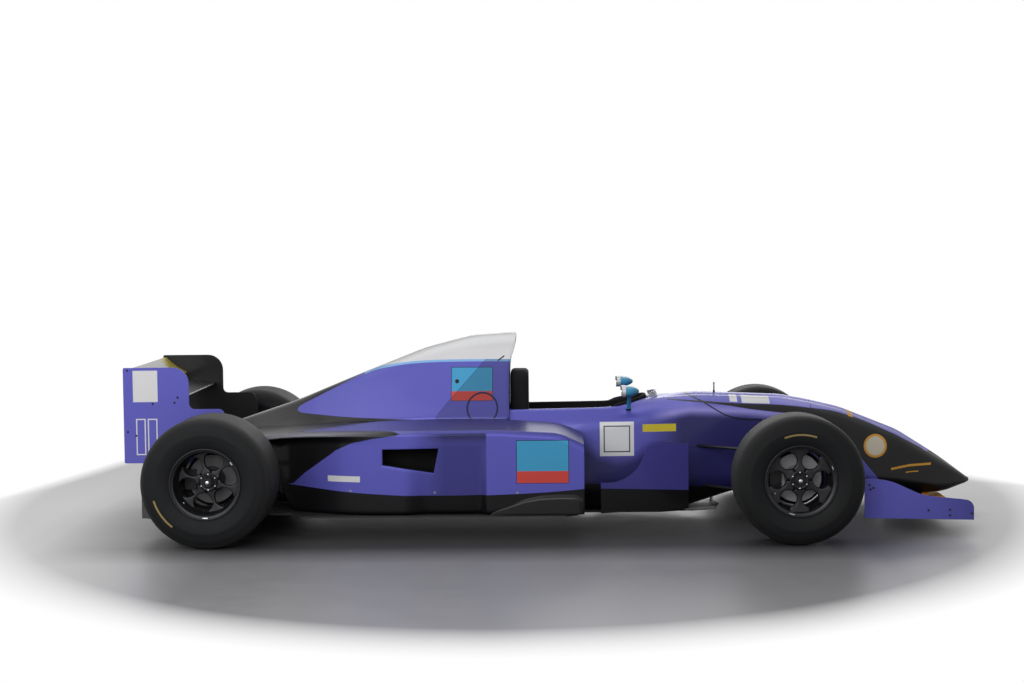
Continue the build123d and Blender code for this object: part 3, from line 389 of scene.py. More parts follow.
def piece(name, patches, finishes, body="chassis", stands_for=(), smooth=35):
    """Joins patches into one object with its finishes, rides it on its body and hides what it stands for. Edges
    sharper than smooth degrees stay sharp."""
    patches = patches if isinstance(patches, list) else [patches]
    points, faces, finish = [], [], []
    start = 0
    for p in patches:
        points.append(p.points)
        faces += [[i + start for i in f] for f in p.faces]
        finish += [p.finish] * len(p.faces) if isinstance(p.finish, int) else list(p.finish)
        start += len(p.points)
    mesh = bpy.data.meshes.new(name)
    mesh.from_pydata(np.concatenate(points).tolist(), [], faces)
    for f in finishes if isinstance(finishes, list) else [finishes]:
        mesh.materials.append(f)
    mesh.polygons.foreach_set("material_index", finish)
    mesh.shade_smooth()
    mesh.set_sharp_from_angle(angle=math.radians(smooth))
    obj = bpy.data.objects.new(name, mesh)
    bpy.context.scene.collection.objects.link(obj)
    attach(obj, body)
    if stands_for:
        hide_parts(*stands_for)
    return obj


def soften(obj):
    """Rounds the sharp edges of an endplate by 1 mm."""
    bevel = obj.modifiers.new("edges", "BEVEL")
    bevel.width = 0.001
    bevel.segments = 2
    bevel.limit_method = "ANGLE"
    bevel.angle_limit = math.radians(40)


# ================ finishes
class Value:
    """One output in a material's nodes: arithmetic on it adds Math nodes."""

    def __init__(self, finish, socket):
        self.finish = finish
        self.socket = socket

    def math(self, operation, *others):
        """A Math node over this value and the others."""
        return self.finish.node("ShaderNodeMath", {"operation": operation}, dict(enumerate((self, *others))))

    __add__ = __radd__ = partialmethod(math, "ADD")
    __mul__ = __rmul__ = partialmethod(math, "MULTIPLY")
    __sub__ = partialmethod(math, "SUBTRACT")
    __truediv__ = partialmethod(math, "DIVIDE")
    __pow__ = partialmethod(math, "POWER")
    __abs__ = partialmethod(math, "ABSOLUTE")
    least = partialmethod(math, "MINIMUM")
    most = partialmethod(math, "MAXIMUM")

    def __rsub__(self, other):
        return self.finish.node("ShaderNodeMath", {"operation": "SUBTRACT"}, {0: other, 1: self})

    def above(self, edge, soft=PAINT_EDGE):
        """1 where the value is over edge, 0 where it is under, with a ramp from soft below to soft over it."""
        ramp = {"From Min": -soft, "From Max": soft}
        return self.finish.node("ShaderNodeMapRange", {"clamp": True}, {"Value": self - edge, **ramp})

    def below(self, edge, soft=PAINT_EDGE):
        """1 where the value is under edge, 0 where it is over."""
        return 1 - self.above(edge, soft)

    def between(self, low, high, soft=PAINT_EDGE):
        """1 from low to high, 0 outside them."""
        return self.above(low, soft) * self.below(high, soft)

    def line(self, middle, half, soft=PAINT_EDGE):
        """1 where the value is within half of middle, 0 further off."""
        return (half - abs(self - middle)).above(0, soft)

    def along(self, points, straight=False):
        """Height of a curve through (place, height) points at this value."""
        points = sorted(points)
        low, high = points[0][0], points[-1][0]
        base = min(p[1] for p in points)
        span = max(p[1] for p in points) - base or 1.0
        node = self.finish.tree.nodes.new("ShaderNodeFloatCurve")
        curve = node.mapping.curves[0]
        scaled = [((p - low) / (high - low), (h - base) / span) for p, h in points]
        curve.points[0].location = scaled[0]
        curve.points[1].location = scaled[-1]
        for p in scaled[1:-1]:
            curve.points.new(*p)
        if straight:
            for p in curve.points:
                p.handle_type = "VECTOR"
        node.mapping.update()
        self.finish.feed(node.inputs["Value"], (self - low) / (high - low))
        return Value(self.finish, node.outputs[0]) * span + base


class Finish:
    """A material under construction: object coordinates, any node by its type, and the surface shader."""

    def __init__(self, name):
        self.material = bpy.data.materials.new(name)
        self.material.use_nodes = True
        self.tree = self.material.node_tree
        self.shader = self.tree.nodes["Principled BSDF"]
        self.place = self.node("ShaderNodeTexCoord", out="Object")
        parts = self.tree.nodes.new("ShaderNodeSeparateXYZ")
        self.tree.links.new(self.place.socket, parts.inputs[0])
        self.x, self.y, self.z = (Value(self, parts.outputs[k]) for k in range(3))

    def feed(self, socket, value):
        """Links a value to a socket, or sets the number or colour that the socket holds."""
        if isinstance(value, Value):
            self.tree.links.new(value.socket, socket)
        elif hasattr(socket.default_value, "__len__") and len(value) < len(socket.default_value):
            socket.default_value = (*value, 1.0)
        else:
            socket.default_value = value

    def node(self, kind, settings=None, inputs=None, out=0):
        """A node of a kind with its settings and inputs; gives one of its outputs."""
        node = self.tree.nodes.new(kind)
        for key, value in (settings or {}).items():
            setattr(node, key, value)
        for key, value in (inputs or {}).items():
            self.feed(node.inputs[key], value)
        return Value(self, node.outputs[out])

    def noise(self, scale, detail=2.0, rough=0.5, stretch=None):
        """Cloudy noise from 0 to 1, scale waves to the metre."""
        place = self.place
        if stretch:
            place = self.node("ShaderNodeMapping", None, {"Vector": place, "Scale": stretch})
        return self.node("ShaderNodeTexNoise", None,
                         {"Vector": place, "Scale": scale, "Detail": detail, "Roughness": rough})

    def mix(self, factor, under, over):
        """Colour under where the factor is 0, colour over where it is 1."""
        return self.node("ShaderNodeMix", {"data_type": "RGBA"}, {0: factor, 6: under, 7: over}, out=2)

    def coats(self, colour, *coats):
        """A colour with (factor, colour) coats laid over it, one after the other."""
        for factor, over in coats:
            colour = self.mix(factor, colour, over)
        return colour

    def scaled(self, colour, by):
        """A colour made lighter or darker by a factor."""
        return self.node("ShaderNodeVectorMath", {"operation": "SCALE"}, {0: colour, "Scale": by})

    def within(self, x0, x1, z0, z1):
        """1 inside a rectangle seen from the side."""
        return self.x.between(x0, x1) * self.z.between(z0, z1)

    def disc(self, x, z, radius):
        """Distance inside a circle seen from the side."""
        return radius - ((self.x - x) ** 2 + (self.z - z) ** 2) ** 0.5

    def bump(self, height, strength, distance):
        """Surface that seems raised by a height, from 0 to 1 over the distance."""
        return self.node("ShaderNodeBump", None, {"Strength": strength, "Distance": distance, "Height": height})

    def made(self, **sockets):
        """The material, with the surface shader's sockets fed by name."""
        for name, value in sockets.items():
            self.feed(self.shader.inputs[name.replace("_", " ")], value)
        return self.material


def lacquer(finish, colour, metal=0.18, rough=0.34, deepen=0.85, gloss=0):
    """Clear coated pearl paint over colour: fine flake in the tone, which deepens by the cube of how far the face
    is turned away, faint dust in the gloss, orange peel in the coat."""
    flake = finish.noise(900, 1.0)
    dust = finish.noise(3.5, 5.0, 0.6)
    facing = finish.node("ShaderNodeLayerWeight", None, {"Blend": 0.5}, out="Facing")
    tone = finish.scaled(colour, (0.85 + flake * 0.32) * (1 - facing ** 3 * deepen))
    peel = finish.bump(finish.noise(160, 1.0), 0.03, 0.0006)
    return finish.made(Base_Color=tone, Metallic=metal, Roughness=rough + dust * 0.12, Specular_IOR_Level=0.18,
                       Coat_Weight=gloss + 0.2, Coat_Roughness=0.10, Normal=peel)


def two_tone_panel(f, colour, x0, x1, z0, z1):
    """Plain turquoise panel with a 3 mm dark edge and a coral band along the lowest 28 parts in 100."""
    edge = 0.003
    return f.coats(colour, (f.within(x0 - edge, x1 + edge, z0 - edge, z1 + edge), BLACK_LACQUER),
                   (f.within(x0, x1, z0, z1), TURQUOISE), (f.within(x0, x1, z0, z0 * 0.72 + z1 * 0.28), CORAL))


def cover_finish():
    """Engine cover: black spine and tail; a violet panel between the spine and its low line, where the corners are
    what lies within r of the two lines; a two toned panel; a white airbox edged with sky blue; a seam with painted
    shade ahead of it, a filler ring, a dot and a short slanted line."""
    f = Finish("engine_cover_lacquer")
    white_low = f.x.along(((-1.03, 0.806), (-0.898, 0.846), (-0.720, 0.869), (-0.542, 0.876), (-0.18, 0.875)))
    spine = f.x.along(((-1.72, 0.455), (-1.397, 0.622), (-1.03, 0.806), (-0.9, 1.2)), True)
    low = f.x.along(((-1.72, 0.62), (-1.331, 0.592), (-1.16, 0.581), (-1.029, 0.576), (-0.809, 0.568), (-0.6, 0.556)),
                    True)
    r = 0.045
    a = (r - (spine - f.z) * 0.89).most(0)
    b = (r - (f.z - low)).most(0)
    panel = (r - (a * a + b * b) ** 0.5).above(0)
    airbox = f.x.above(-1.03)
    colour = two_tone_panel(f, f.mix(panel, BLACK_LACQUER, VIOLET), -0.553, -0.336, 0.663, 0.833)
    colour = f.coats(colour, (f.z.above(white_low - 0.012) * airbox, SKY_BLUE),
                     (f.z.above(white_low) * airbox, AIRBOX_WHITE))
    seam = f.z.along(((0.545, -0.655), (0.60, -0.620), (0.686, -0.546), (0.80, -0.440), (0.88, -0.370)), True)
    line = f.x.line(seam, 0.0016, FINE_EDGE) * f.z.below(0.862) * f.z.above(0.55)
    # painted shade: 38 parts in 100 darker ahead of the seam, below the white
    colour = f.scaled(colour, 1 - f.x.above(seam, 0.002) * f.z.below(white_low) * 0.38)
    filler = f.disc(-0.388, 0.622, 0.080).line(0, 0.0048, FINE_EDGE) * f.z.above(0.57)
    dot = f.disc(-0.524, 0.762, 0.011).above(0)
    slant = f.z.line((f.x + 0.289) * 0.7 + 0.881, 0.0042) * f.x.between(-0.307, -0.271)
    colour = f.coats(colour, (line * 0.6, (0.010, 0.010, 0.05)), (filler, (0.006, 0.006, 0.035)),
                     (dot.most(slant), SEAM_BLACK))
    return lacquer(f, colour, gloss=(1 - panel) * f.x.below(-1.42, 0.15) * 0.8)


def pod_finish():
    """Sidepod: violet with a black skirt, black flank under the rear deck and black wedges along the deck. Painted
    shade darkens the violet on the deck, in the hollow of the outlet and under the fold there, and a painted
    reflection follows the fold to the tail as a pale streak."""
    f = Finish("sidepod_lacquer")
    side = abs(f.y)
    skirt = f.x.along(((-1.7, 0.275), (-1.341, 0.259), (-0.956, 0.234), (-0.57, 0.220), (-0.35, 0.224),
                       (0.139, 0.253)))
    flank = f.x.along(((-1.60, 0.20), (-1.36, 0.27), (-1.30, 0.325), (-1.154, 0.430), (-1.126, 0.452), (-1.042, 0.491),
                       (-0.93, 0.515), (-0.813, 0.530), (-0.70, 0.60)), True)
    deck_in = f.x.along(((-1.7, 0.60), (-1.25, 0.50), (-1.05, 0.34), (-0.747, 0.262), (0.2, 0.20)), True)
    deck_out = f.x.along(((-1.7, 0.50), (-1.25, 0.55), (-0.95, 0.63), (-0.73, 0.72), (0.2, 0.75)), True)
    fold = f.x.along([(row[0], row[6]) for row in POD], True)
    on_deck = f.z.above(fold - 0.014, 0.004)
    deck = side.above(deck_in) * side.below(deck_out)
    wall, foot = f.z.below(flank), f.z.below(skirt)
    # painted shade: darker by the outlet where the flank tucks in, and in a band under the fold there
    hollow = f.x.above(-0.66, 0.09) * f.x.below(-0.355, 0.004)
    shade = f.z.above(fold - 0.045, 0.02) * hollow
    # painted shade: the violet darkened in that hollow, under the fold and over the whole deck
    violet = f.scaled(VIOLET, 1 - (hollow * 0.45 + shade * 0.35) * (1 - on_deck) - on_deck * 0.35)
    # painted reflection: a pale streak along the fold towards the tail
    painted_sheen = f.z.line(fold - 0.008, 0.009, 0.007) * f.x.below(-1.02, 0.2)
    colour = f.coats(BLACK_LACQUER, (wall * (1 - on_deck) + deck * on_deck, violet),
                     (painted_sheen * 0.6, (0.30, 0.30, 0.35)))
    screws = sum((f.disc(x, z, 0.006).above(0) for x, z in ((-0.62, 0.236), (-1.05, 0.247), (-0.20, 0.236))), 0)
    colour = f.coats(colour, (side.above(0.60), two_tone_panel(f, colour, -0.201, 0.060, 0.285, 0.500)),
                     (f.within(-1.17, -1.00, 0.292, 0.322) * side.above(0.5), AIRBOX_WHITE),
                     (foot, BLACK_LACQUER), (screws * side.above(0.5), (0.25, 0.25, 0.26)))
    dull = (on_deck * f.x.above(-0.8, 0.15)).most((1 - on_deck) * wall).most(foot)
    return lacquer(f, colour, gloss=on_deck * deck * f.x.below(-0.8, 0.15) * 0.8 - dull * 0.2)


def hull_finish():
    """Tub and nose: violet, a black band under the top edge that widens over the side of the nose, a painted
    highlight in pale violet along the crease and the nose's top, painted shade in deep violet below the crease
    and in the tuck behind it, black belly, a grey square with a frame line, plain bars and patches, a ringed dial
    and the seams of the hatch."""
    f = Finish("hull_lacquer")
    side = abs(f.y)
    band_top = f.x.along(((0.55, 0.657), (0.774, 0.646), (0.926, 0.633), (1.041, 0.626), (1.155, 0.621),
                          (1.262, 0.612), (1.369, 0.598), (1.49, 0.579), (1.57, 0.556), (1.63, 0.536),
                          (1.698, 0.508), (1.765, 0.477), (1.832, 0.446), (1.899, 0.411), (1.966, 0.377),
                          (2.03, 0.35), (2.07, 0.37)))
    band_low = f.x.along(((0.55, 0.655), (0.79, 0.636), (0.925, 0.619), (1.039, 0.599), (1.123, 0.588),
                          (1.223, 0.576), (1.40, 0.52), (1.63, 0.338), (1.724, 0.223), (1.85, 0.05)), True)
    band = f.z.below(band_top).most(f.x.above(2.05)) * f.z.above(band_low) * f.x.above(0.6)
    crease = f.x.along(((0.3, 0.52), (0.448, 0.560), (0.717, 0.600), (1.014, 0.586), (1.23, 0.56), (1.6, 0.30)), True)
    # painted shade: deep violet below the crease, and under the next curve in the tuck behind the bargeboard
    shade = f.z.below(crease - 0.020, 0.022) * f.x.above(0.58, 0.09) * f.x.below(1.55)
    tuck = f.x.along(((0.16, 0.42), (0.22, 0.365), (0.33, 0.340), (0.42, 0.358), (0.497, 0.411), (0.56, 0.443),
                      (0.70, 0.450)), True)
    tuck_shade = f.z.below(tuck, 0.035) * f.x.below(0.72, 0.03) * f.x.above(0.13, 0.03)
    # painted highlight: pale violet along the crease and over the nose's top above the black band
    crease_highlight = f.z.above(crease - 0.022, 0.015) * f.z.below(crease + 0.022, 0.02) * f.x.above(0.56, 0.06) * f.x.below(1.3)
    nose_top_highlight = f.z.above(band_top, 0.008) * f.x.above(1.15, 0.12)
    belly = f.x.along(((-0.3, 0.235), (0.7, 0.20), (1.2, 0.16), (1.3, 0.10)), True)
    stripe = f.x.between(1.576, 1.603) * f.z.above(band_top - 0.004)
    patch = f.x.between(0.999, 1.149) * f.z.above(band_top + 0.003) * side.above(0.05)
    flag = f.x.between(0.935, 0.975) * f.z.above(band_top + 0.006) * side.above(0.05)
    flank = side.above(0.12)
    square = f.within(0.234, 0.415, 0.364, 0.545)
    frame_line = f.within(0.254, 0.395, 0.384, 0.525) * (1 - f.within(0.260, 0.389, 0.390, 0.519))
    dial = f.disc(1.716, 0.391, 0.063)
    by_dial = flank.most(1 - f.x.below(1.6))
    dashes = f.x.along(((1.78, 0.262), (1.90, 0.283), (2.04, 0.290)), True)
    line = f.z.line(dashes, 0.006) * f.x.between(1.80, 2.02)
    under = f.z.line(dashes - 0.034, 0.003) * f.x.between(1.88, 1.95)
    hatch = f.x.along(((0.66, 0.70), (0.678, 0.688), (0.770, 0.650), (0.870, 0.591), (0.923, 0.564), (0.999, 0.547),
                       (1.10, 0.543)))
    split = f.x.along(((0.60, 0.412), (0.738, 0.403), (0.955, 0.385), (1.36, 0.36)))
    seams = (f.z.line(hatch, 0.0040, 0.001) * f.x.between(0.678, 1.10)
             + f.z.line(split, 0.0013, FINE_EDGE) * f.x.between(0.62, 1.355)
             + f.x.line(1.372, 0.0014, FINE_EDGE))
    colour = f.coats(VIOLET, (crease_highlight.most(nose_top_highlight) * 0.75, HIGHLIGHT_VIOLET),
                     (shade.most(tuck_shade * 0.9) * side.above(0.10), SHADE_VIOLET),
                     (band, BLACK_LACQUER), (f.z.below(belly) * f.x.below(1.25), BLACK_LACQUER),
                     (stripe, AMBER), (patch.most(flag), AIRBOX_WHITE),
                     (square * flank, (0.66, 0.67, 0.69)), (frame_line * flank, (0.02, 0.02, 0.02)),
                     (f.within(0.462, 0.640, 0.490, 0.530) * flank, YELLOW),
                     (dial.above(0) * by_dial, AMBER), (dial.above(0.012) * by_dial, CREAM),
                     (line.most(under), AMBER), (seams.least(1), SEAM_BLACK))
    return lacquer(f, colour, deepen=0.3)


def plain_lacquer(name, colour, metal=0.18):
    """Lacquer in one colour."""
    return lacquer(Finish(name), colour, metal)


def carbon():
    """Woven carbon under clear resin: two slanting counts of 4 mm tows, each paler over the outer half of a tow."""
    f = Finish("carbon_weave")
    tow = 0.004
    counts = ((f.x + f.z) / tow, (f.y + f.z * 0.5) / tow)
    warp, weft = ((count.math("FRACT") - 0.5).math("ABSOLUTE").above(0.25, 0.1) * 0.5 for count in counts)
    colour = f.mix(warp + weft, (0.010, 0.010, 0.011), (0.026, 0.026, 0.028))
    rough = 0.34 + f.noise(6, 4.0) * 0.2
    return f.made(Base_Color=colour, Roughness=rough, Coat_Weight=0.5, Coat_Roughness=0.12)


def rubber(name, x, z, mark, span):
    """Slick tyre rubber: dull and a little scuffed, paler on the tread, with fine moulded rings (the sine of the
    distance from the axle) and a plain gold arc on the side, span degrees about the axle at the radius mark."""
    f = Finish(name)
    scuff = f.noise(22, 6.0, 0.6)
    dx, dz = f.x - x, f.z - z
    reach = (dx * dx + dz * dz) ** 0.5
    tread = reach.above(0.308, 0.012)
    turn = (dz.math("ARCTAN2", dx) - math.radians(sum(span) / 2)).math("WRAP", math.pi, -math.pi)
    arc = turn.line(0, math.radians(span[1] - span[0]) / 2, 0.004)
    colour = f.coats((0.0040, 0.0044, 0.0052), (scuff, (0.0085, 0.009, 0.0098)),
                     (tread * (0.35 + scuff * 0.5), (0.036, 0.036, 0.034)),
                     (arc * reach.line(mark, 0.0045) * 0.9, TYRE_GOLD))
    rings = (reach * 1400).math("SINE") * reach.between(0.195, 0.29, 0.01)
    grain = f.bump(f.noise(420, 2.0) + rings * 0.25, 0.12, 0.0008)
    return f.made(Base_Color=colour, Roughness=0.55 + scuff * 0.22, Specular_IOR_Level=0.17, Normal=grain)


def cast_metal(name, colour, metal, rough, grain=260):
    """Cast or coated metal with a fine grain and a few darker stains."""
    f = Finish(name)
    stain = f.noise(14, 5.0, 0.6)
    tone = f.mix(stain * 0.5, colour, tuple(c * 0.55 for c in colour))
    pits = f.bump(f.noise(grain, 2.0), 0.08, 0.0005)
    return f.made(Base_Color=tone, Metallic=metal, Roughness=rough + stain * 0.15, Normal=pits)


def foam_cloth(name, colour):
    """Close woven cloth over foam: a fine thread noise and a slow one, up to 2.4 times the colour."""
    f = Finish(name)
    threads = f.noise(1400, 1.0)
    soft = f.noise(9, 4.0)
    tone = f.mix(threads * 0.5 + soft * 0.3, colour, tuple(c * 2.4 for c in colour))
    return f.made(Base_Color=tone, Roughness=0.85, Specular_IOR_Level=0.15, Normal=f.bump(threads, 0.35, 0.0006))


def plank_wood():
    """Pressed beech laminate, scuffed by the ground."""
    f = Finish("plank_beech")
    grain = f.noise(18, 6.0, 0.7, (0.35, 9.0, 9.0))
    colour = f.mix(grain, (0.20, 0.12, 0.055), (0.36, 0.24, 0.12))
    return f.made(Base_Color=colour, Roughness=0.6 + grain * 0.2, Normal=f.bump(grain, 0.2, 0.001))


def two_tone(name, upper, lower, edge, slope):
    """Lacquer in two colours that meet along a level or sloping line."""
    f = Finish(name)
    return lacquer(f, f.mix(f.z.above(f.x * slope + edge), lower, upper))


def front_wing_finish():
    """Front wing: black with an amber middle where the nose passes over it."""
    f = Finish("front_wing_lacquer")
    worn = f.noise(40, 4.0, 0.6)
    colour = f.mix(abs(f.y).below(0.17) * f.x.above(1.98), BLACK_LACQUER, (0.80, 0.36, 0.05))
    return f.made(Base_Color=f.scaled(colour, 0.9 + worn * 0.2), Roughness=0.55 + worn * 0.15, Specular_IOR_Level=0.05)


def tray_finish():
    """Floor: dull carbon with a bare alloy face on the tray ahead of the bargeboards."""
    f = Finish("floor_carbon")
    wear = f.noise(14, 5.0, 0.6)
    bare = f.x.above(0.69, 0.01) * f.x.below(0.86, 0.006) * f.z.above(0.040)
    colour = f.mix(wear, (0.010, 0.010, 0.011), (0.022, 0.022, 0.024))
    colour = f.mix(bare, colour, (0.42, 0.42, 0.43))
    return f.made(Base_Color=colour, Metallic=bare * 0.7, Roughness=0.36 + wear * 0.2, Specular_IOR_Level=0.3)


def dull_black():
    """Dull black inside ducts, wheels and the cockpit."""
    f = Finish("dull_black")
    dust = f.noise(30, 5.0, 0.6)
    colour = f.mix(dust, (0.0035, 0.0035, 0.004), (0.006, 0.006, 0.0065))
    return f.made(Base_Color=colour, Roughness=0.7 + dust * 0.2, Specular_IOR_Level=0.1)


def front_plate_finish():
    """Front endplate: violet with painted light towards the rear and painted shade towards the front: violet times
    1.5 less 1.6 for each metre ahead of x = 1.6, kept from 0.6 to 1.4.
    """
    f = Finish("front_endplate_lacquer")
    # painted light and shade: from 1.4 times the violet at the rear to about 0.7 times at the front edge
    return lacquer(f, f.scaled(VIOLET, (1.5 - (f.x - 1.6) * 1.6).least(1.4).most(0.6)))


def wing_end_finish():
    """Rear endplate: violet outside, black inside, a bare white patch and two outlined bars."""
    f = Finish("rear_endplate_lacquer")
    colour = f.mix(f.within(-2.190, -2.062, 0.694, 0.857), VIOLET, AIRBOX_WHITE)
    edge = 0.006
    for x in (-2.177, -2.116):
        bar = f.within(x, x + 0.050, 0.418, 0.607) * (1 - f.within(x + edge, x + 0.050 - edge, 0.424, 0.601))
        colour = f.mix(bar, colour, AIRBOX_WHITE)
    colour = f.mix(abs(f.y).above(REAR_PLATE_Y[1] - 0.001, 0.0005), BLACK_LACQUER, colour)
    return lacquer(f, colour)


def flap_finish():
    """Rear flap: white with yellow ends."""
    f = Finish("rear_flap_lacquer")
    return lacquer(f, f.mix(abs(f.y).above(0.30), AIRBOX_WHITE, YELLOW), 0.0, 0.35)


def tinted_screen():
    """Clear grey plastic, a little hazy."""
    f = Finish("screen_tint")
    haze = f.noise(12, 3.0)
    return f.made(Base_Color=(0.45, 0.47, 0.50), Roughness=0.06 + haze * 0.08, Transmission_Weight=0.6, IOR=1.49,
                  Coat_Weight=0.3)


# ================ body
def tub():
    """Monocoque skin: a rounded eight cornered section carried along X. Across its top, the points inside the
    cockpit mouth (half width 0.195 (1 - t^3)^(1 / 2.4) over the share t of its length) drop by a quarter round of
    the lip's radius and then a straight wall to the cockpit floor."""
    floor_z, lip_r = 0.105, 0.011
    rear, front = -0.240, 0.480
    lip = np.array([0.0, 0.003, 0.007, lip_r, 0.0125])
    xs = np.concatenate([np.linspace(-0.29, rear, 6)[:-1], rear + lip, np.linspace(rear + 0.02, front - 0.02, 64),
                         front - lip[::-1], np.linspace(front, 1.36, 84)[1:]])
    row = eased(TUB, 0.06)(xs)
    top_soft = np.interp(xs, (-0.29, 0.2, 0.48, 0.66), (0.35, 0.35, 0.55, 0.9))
    soft = np.stack([np.full_like(xs, s) for s in HULL_SOFT[:3]] + [top_soft], -1)
    soft = np.concatenate([soft, soft[:, ::-1]], -1)
    inside = 26
    across = 2 * (3 + len(lip) + inside) + 1
    grid = ring(hull_corners(xs, row), soft, HULL_ARC, HULL_FLAT, {3: np.linspace(0, 1, across + 2)[1:-1]})
    top = grid[:, HULL_TOP:HULL_TOP + across]
    edge = grid[:, HULL_TOP - 1, 1]
    mouth = 0.195 * (1 - np.clip((xs - 0.14) / (front + 0.004 - 0.14), 0, 1) ** 3.0) ** (1 / 2.4)
    mouth = np.minimum(np.maximum(mouth, 0.06), edge - 0.003)
    ledge = mouth[:, None] + (edge - mouth)[:, None] * np.array([0.75, 0.5, 0.25])
    fall = mouth[:, None] - lip
    floor = (mouth[:, None] - lip[-1]) * np.linspace(0.985, 0, inside + 1)[:-1]
    half = np.concatenate([ledge, fall, floor], 1)
    y = np.concatenate([half, np.zeros((len(xs), 1)), -half[:, ::-1]], 1)
    crown = 0.010 * smooth_step(0.5, 0.75, xs)[:, None] * (1 - (y / edge[:, None]) ** 2)
    deep = np.minimum(mouth[:, None] - abs(y), np.minimum(xs - rear, front - xs)[:, None])
    rounding = lip_r - np.sqrt(np.maximum(lip_r ** 2 - np.clip(deep, 0, lip_r) ** 2, 0))
    z = top[:, :, 2] + crown - rounding * (deep > 0)
    z = z + (floor_z - z) * smooth_step(lip_r, 0.0124, deep)
    top[:, :, 1] = y
    top[:, :, 2] = z
    dark = np.zeros(grid.shape[:2], bool)
    dark[:, HULL_TOP:HULL_TOP + across] = deep > -0.012
    return painted(web(grid), dark).outward()


def nose():
    """Nose cone: the tub's section carried on and drawn in to a small round tip by the root of 1 - (1 - t)^2 over
    its last 30 mm, with a top that crowns by 10 mm."""
    xs = np.concatenate([np.linspace(1.36, 2.19, 90), 2.241 - 0.051 * np.linspace(1, 0, 14)[1:] ** 1.6])
    row = eased(NOSE, 0.05)(np.minimum(xs, 2.225))
    tip = np.clip((2.2412 - xs) / 0.03, 0, 1)[:, None]
    close = np.sqrt(1 - (1 - tip) ** 2) * 0.92 + 0.08 * (tip > 0)
    z, y = row[:, 0::2], row[:, 1::2]
    middle = z.mean(1, keepdims=True) + 0.002
    row = np.stack([middle + (z - middle) * close, y * close], -1).reshape(len(xs), 8)
    across = 21
    grid = ring(hull_corners(xs, row), HULL_SOFT + HULL_SOFT[::-1], HULL_ARC, HULL_FLAT,
                {3: np.linspace(0, 1, across + 2)[1:-1]})
    edge = grid[:, HULL_TOP - 1, 1][:, None]
    top = grid[:, HULL_TOP:HULL_TOP + across]
    fade = smooth_step(2.24, 2.0, xs)[:, None]
    top[:, :, 2] += 0.010 * fade * (1 - (top[:, :, 1] / edge) ** 2)
    return web(grid).outward()


def engine_cover():
    """Airbox and engine cover: section carried from the tail to the inlet, then in over its lip and back down the
    duct, with the front face leaning back below the inlet. The inlet is a rounded square, the radius at an angle
    being (|cos / wide|^p + |sin / tall|^p)^(-1 / p)."""
    xs = np.linspace(-1.713, -0.209, 150)
    row = eased(COVER, 0.08)(xs)
    grid = ring(hull_corners(xs, row), HULL_SOFT + HULL_SOFT[::-1], 10, 8)
    face = grid[-1]
    middle = np.array([0.0, 0.918])
    angle = np.arctan2(face[:, 2] - middle[1], face[:, 1] - middle[0])
    wide, tall, power = 0.068, 0.068, 3.2
    radius = ((abs(np.cos(angle)) / wide) ** power + (abs(np.sin(angle)) / tall) ** power) ** (-1 / power)
    inlet = np.stack([face[:, 0], radius * np.cos(angle), middle[1] + radius * np.sin(angle)], -1)
    lip = np.array([0.03, 0.12, 0.9, 0.97, 1.0])[:, None, None]
    push = np.array([0.003, 0.005, 0.005, 0.003, 0.0])[:, None, None]
    back = np.linspace(0.004, 0.30, 14)[:, None, None]
    shrink = 1 - 0.35 * smooth_step(0, 0.3, back)
    duct = inlet - back * (1, 0, 0)
    duct = duct * (1, 0, 0) + ((inlet - (0, 0, middle[1])) * (0, 1, 1)) * shrink + (0, 0, middle[1])
    set_back = np.array([0.005, 0, 0])
    grid = np.concatenate([grid[:-1], (face + (inlet - face) * lip) + push * (1, 0, 0) - set_back, duct - set_back])
    lean = 0.036 * smooth_step(0.99, 0.82, grid[:, :, 2]) * smooth_step(-0.7, -0.24, grid[:, :, 0])
    grid[:, :, 0] -= lean
    dark = np.zeros(grid.shape[:2], bool)
    dark[-len(back):] = True
    return painted(web(grid), dark).outward()


def pod_corners(x, row, inset=0.0):
    """Six corners of the left sidepod's section, drawn in by inset; the inner edge follows the cover to the tail,
    and the foot of the wall tucks in beside the outlet."""
    low, wall, shelf, wall_top, shoulder, deck, inner = np.moveaxis(row, -1, 0)
    foot = np.interp(x, (-1.66, -1.391, -1.041, -0.70, -0.29, -0.20), (0.05, 0.15, 0.22, 0.235, 0.245, 0.262))
    tuck = 0.040 * smooth_step(-0.78, -0.66, x) * smooth_step(-0.35, -0.39, x)
    y = np.stack([foot + inset, wall - inset - tuck, wall - inset, shelf - inset, shelf - 0.018 - inset / 2,
                  foot + inset], -1)
    z = np.stack([low + inset, low + inset, wall_top, shoulder, deck - inset, inner - inset], -1)
    return np.stack([np.broadcast_to(x[:, None], y.shape), y, z], -1)


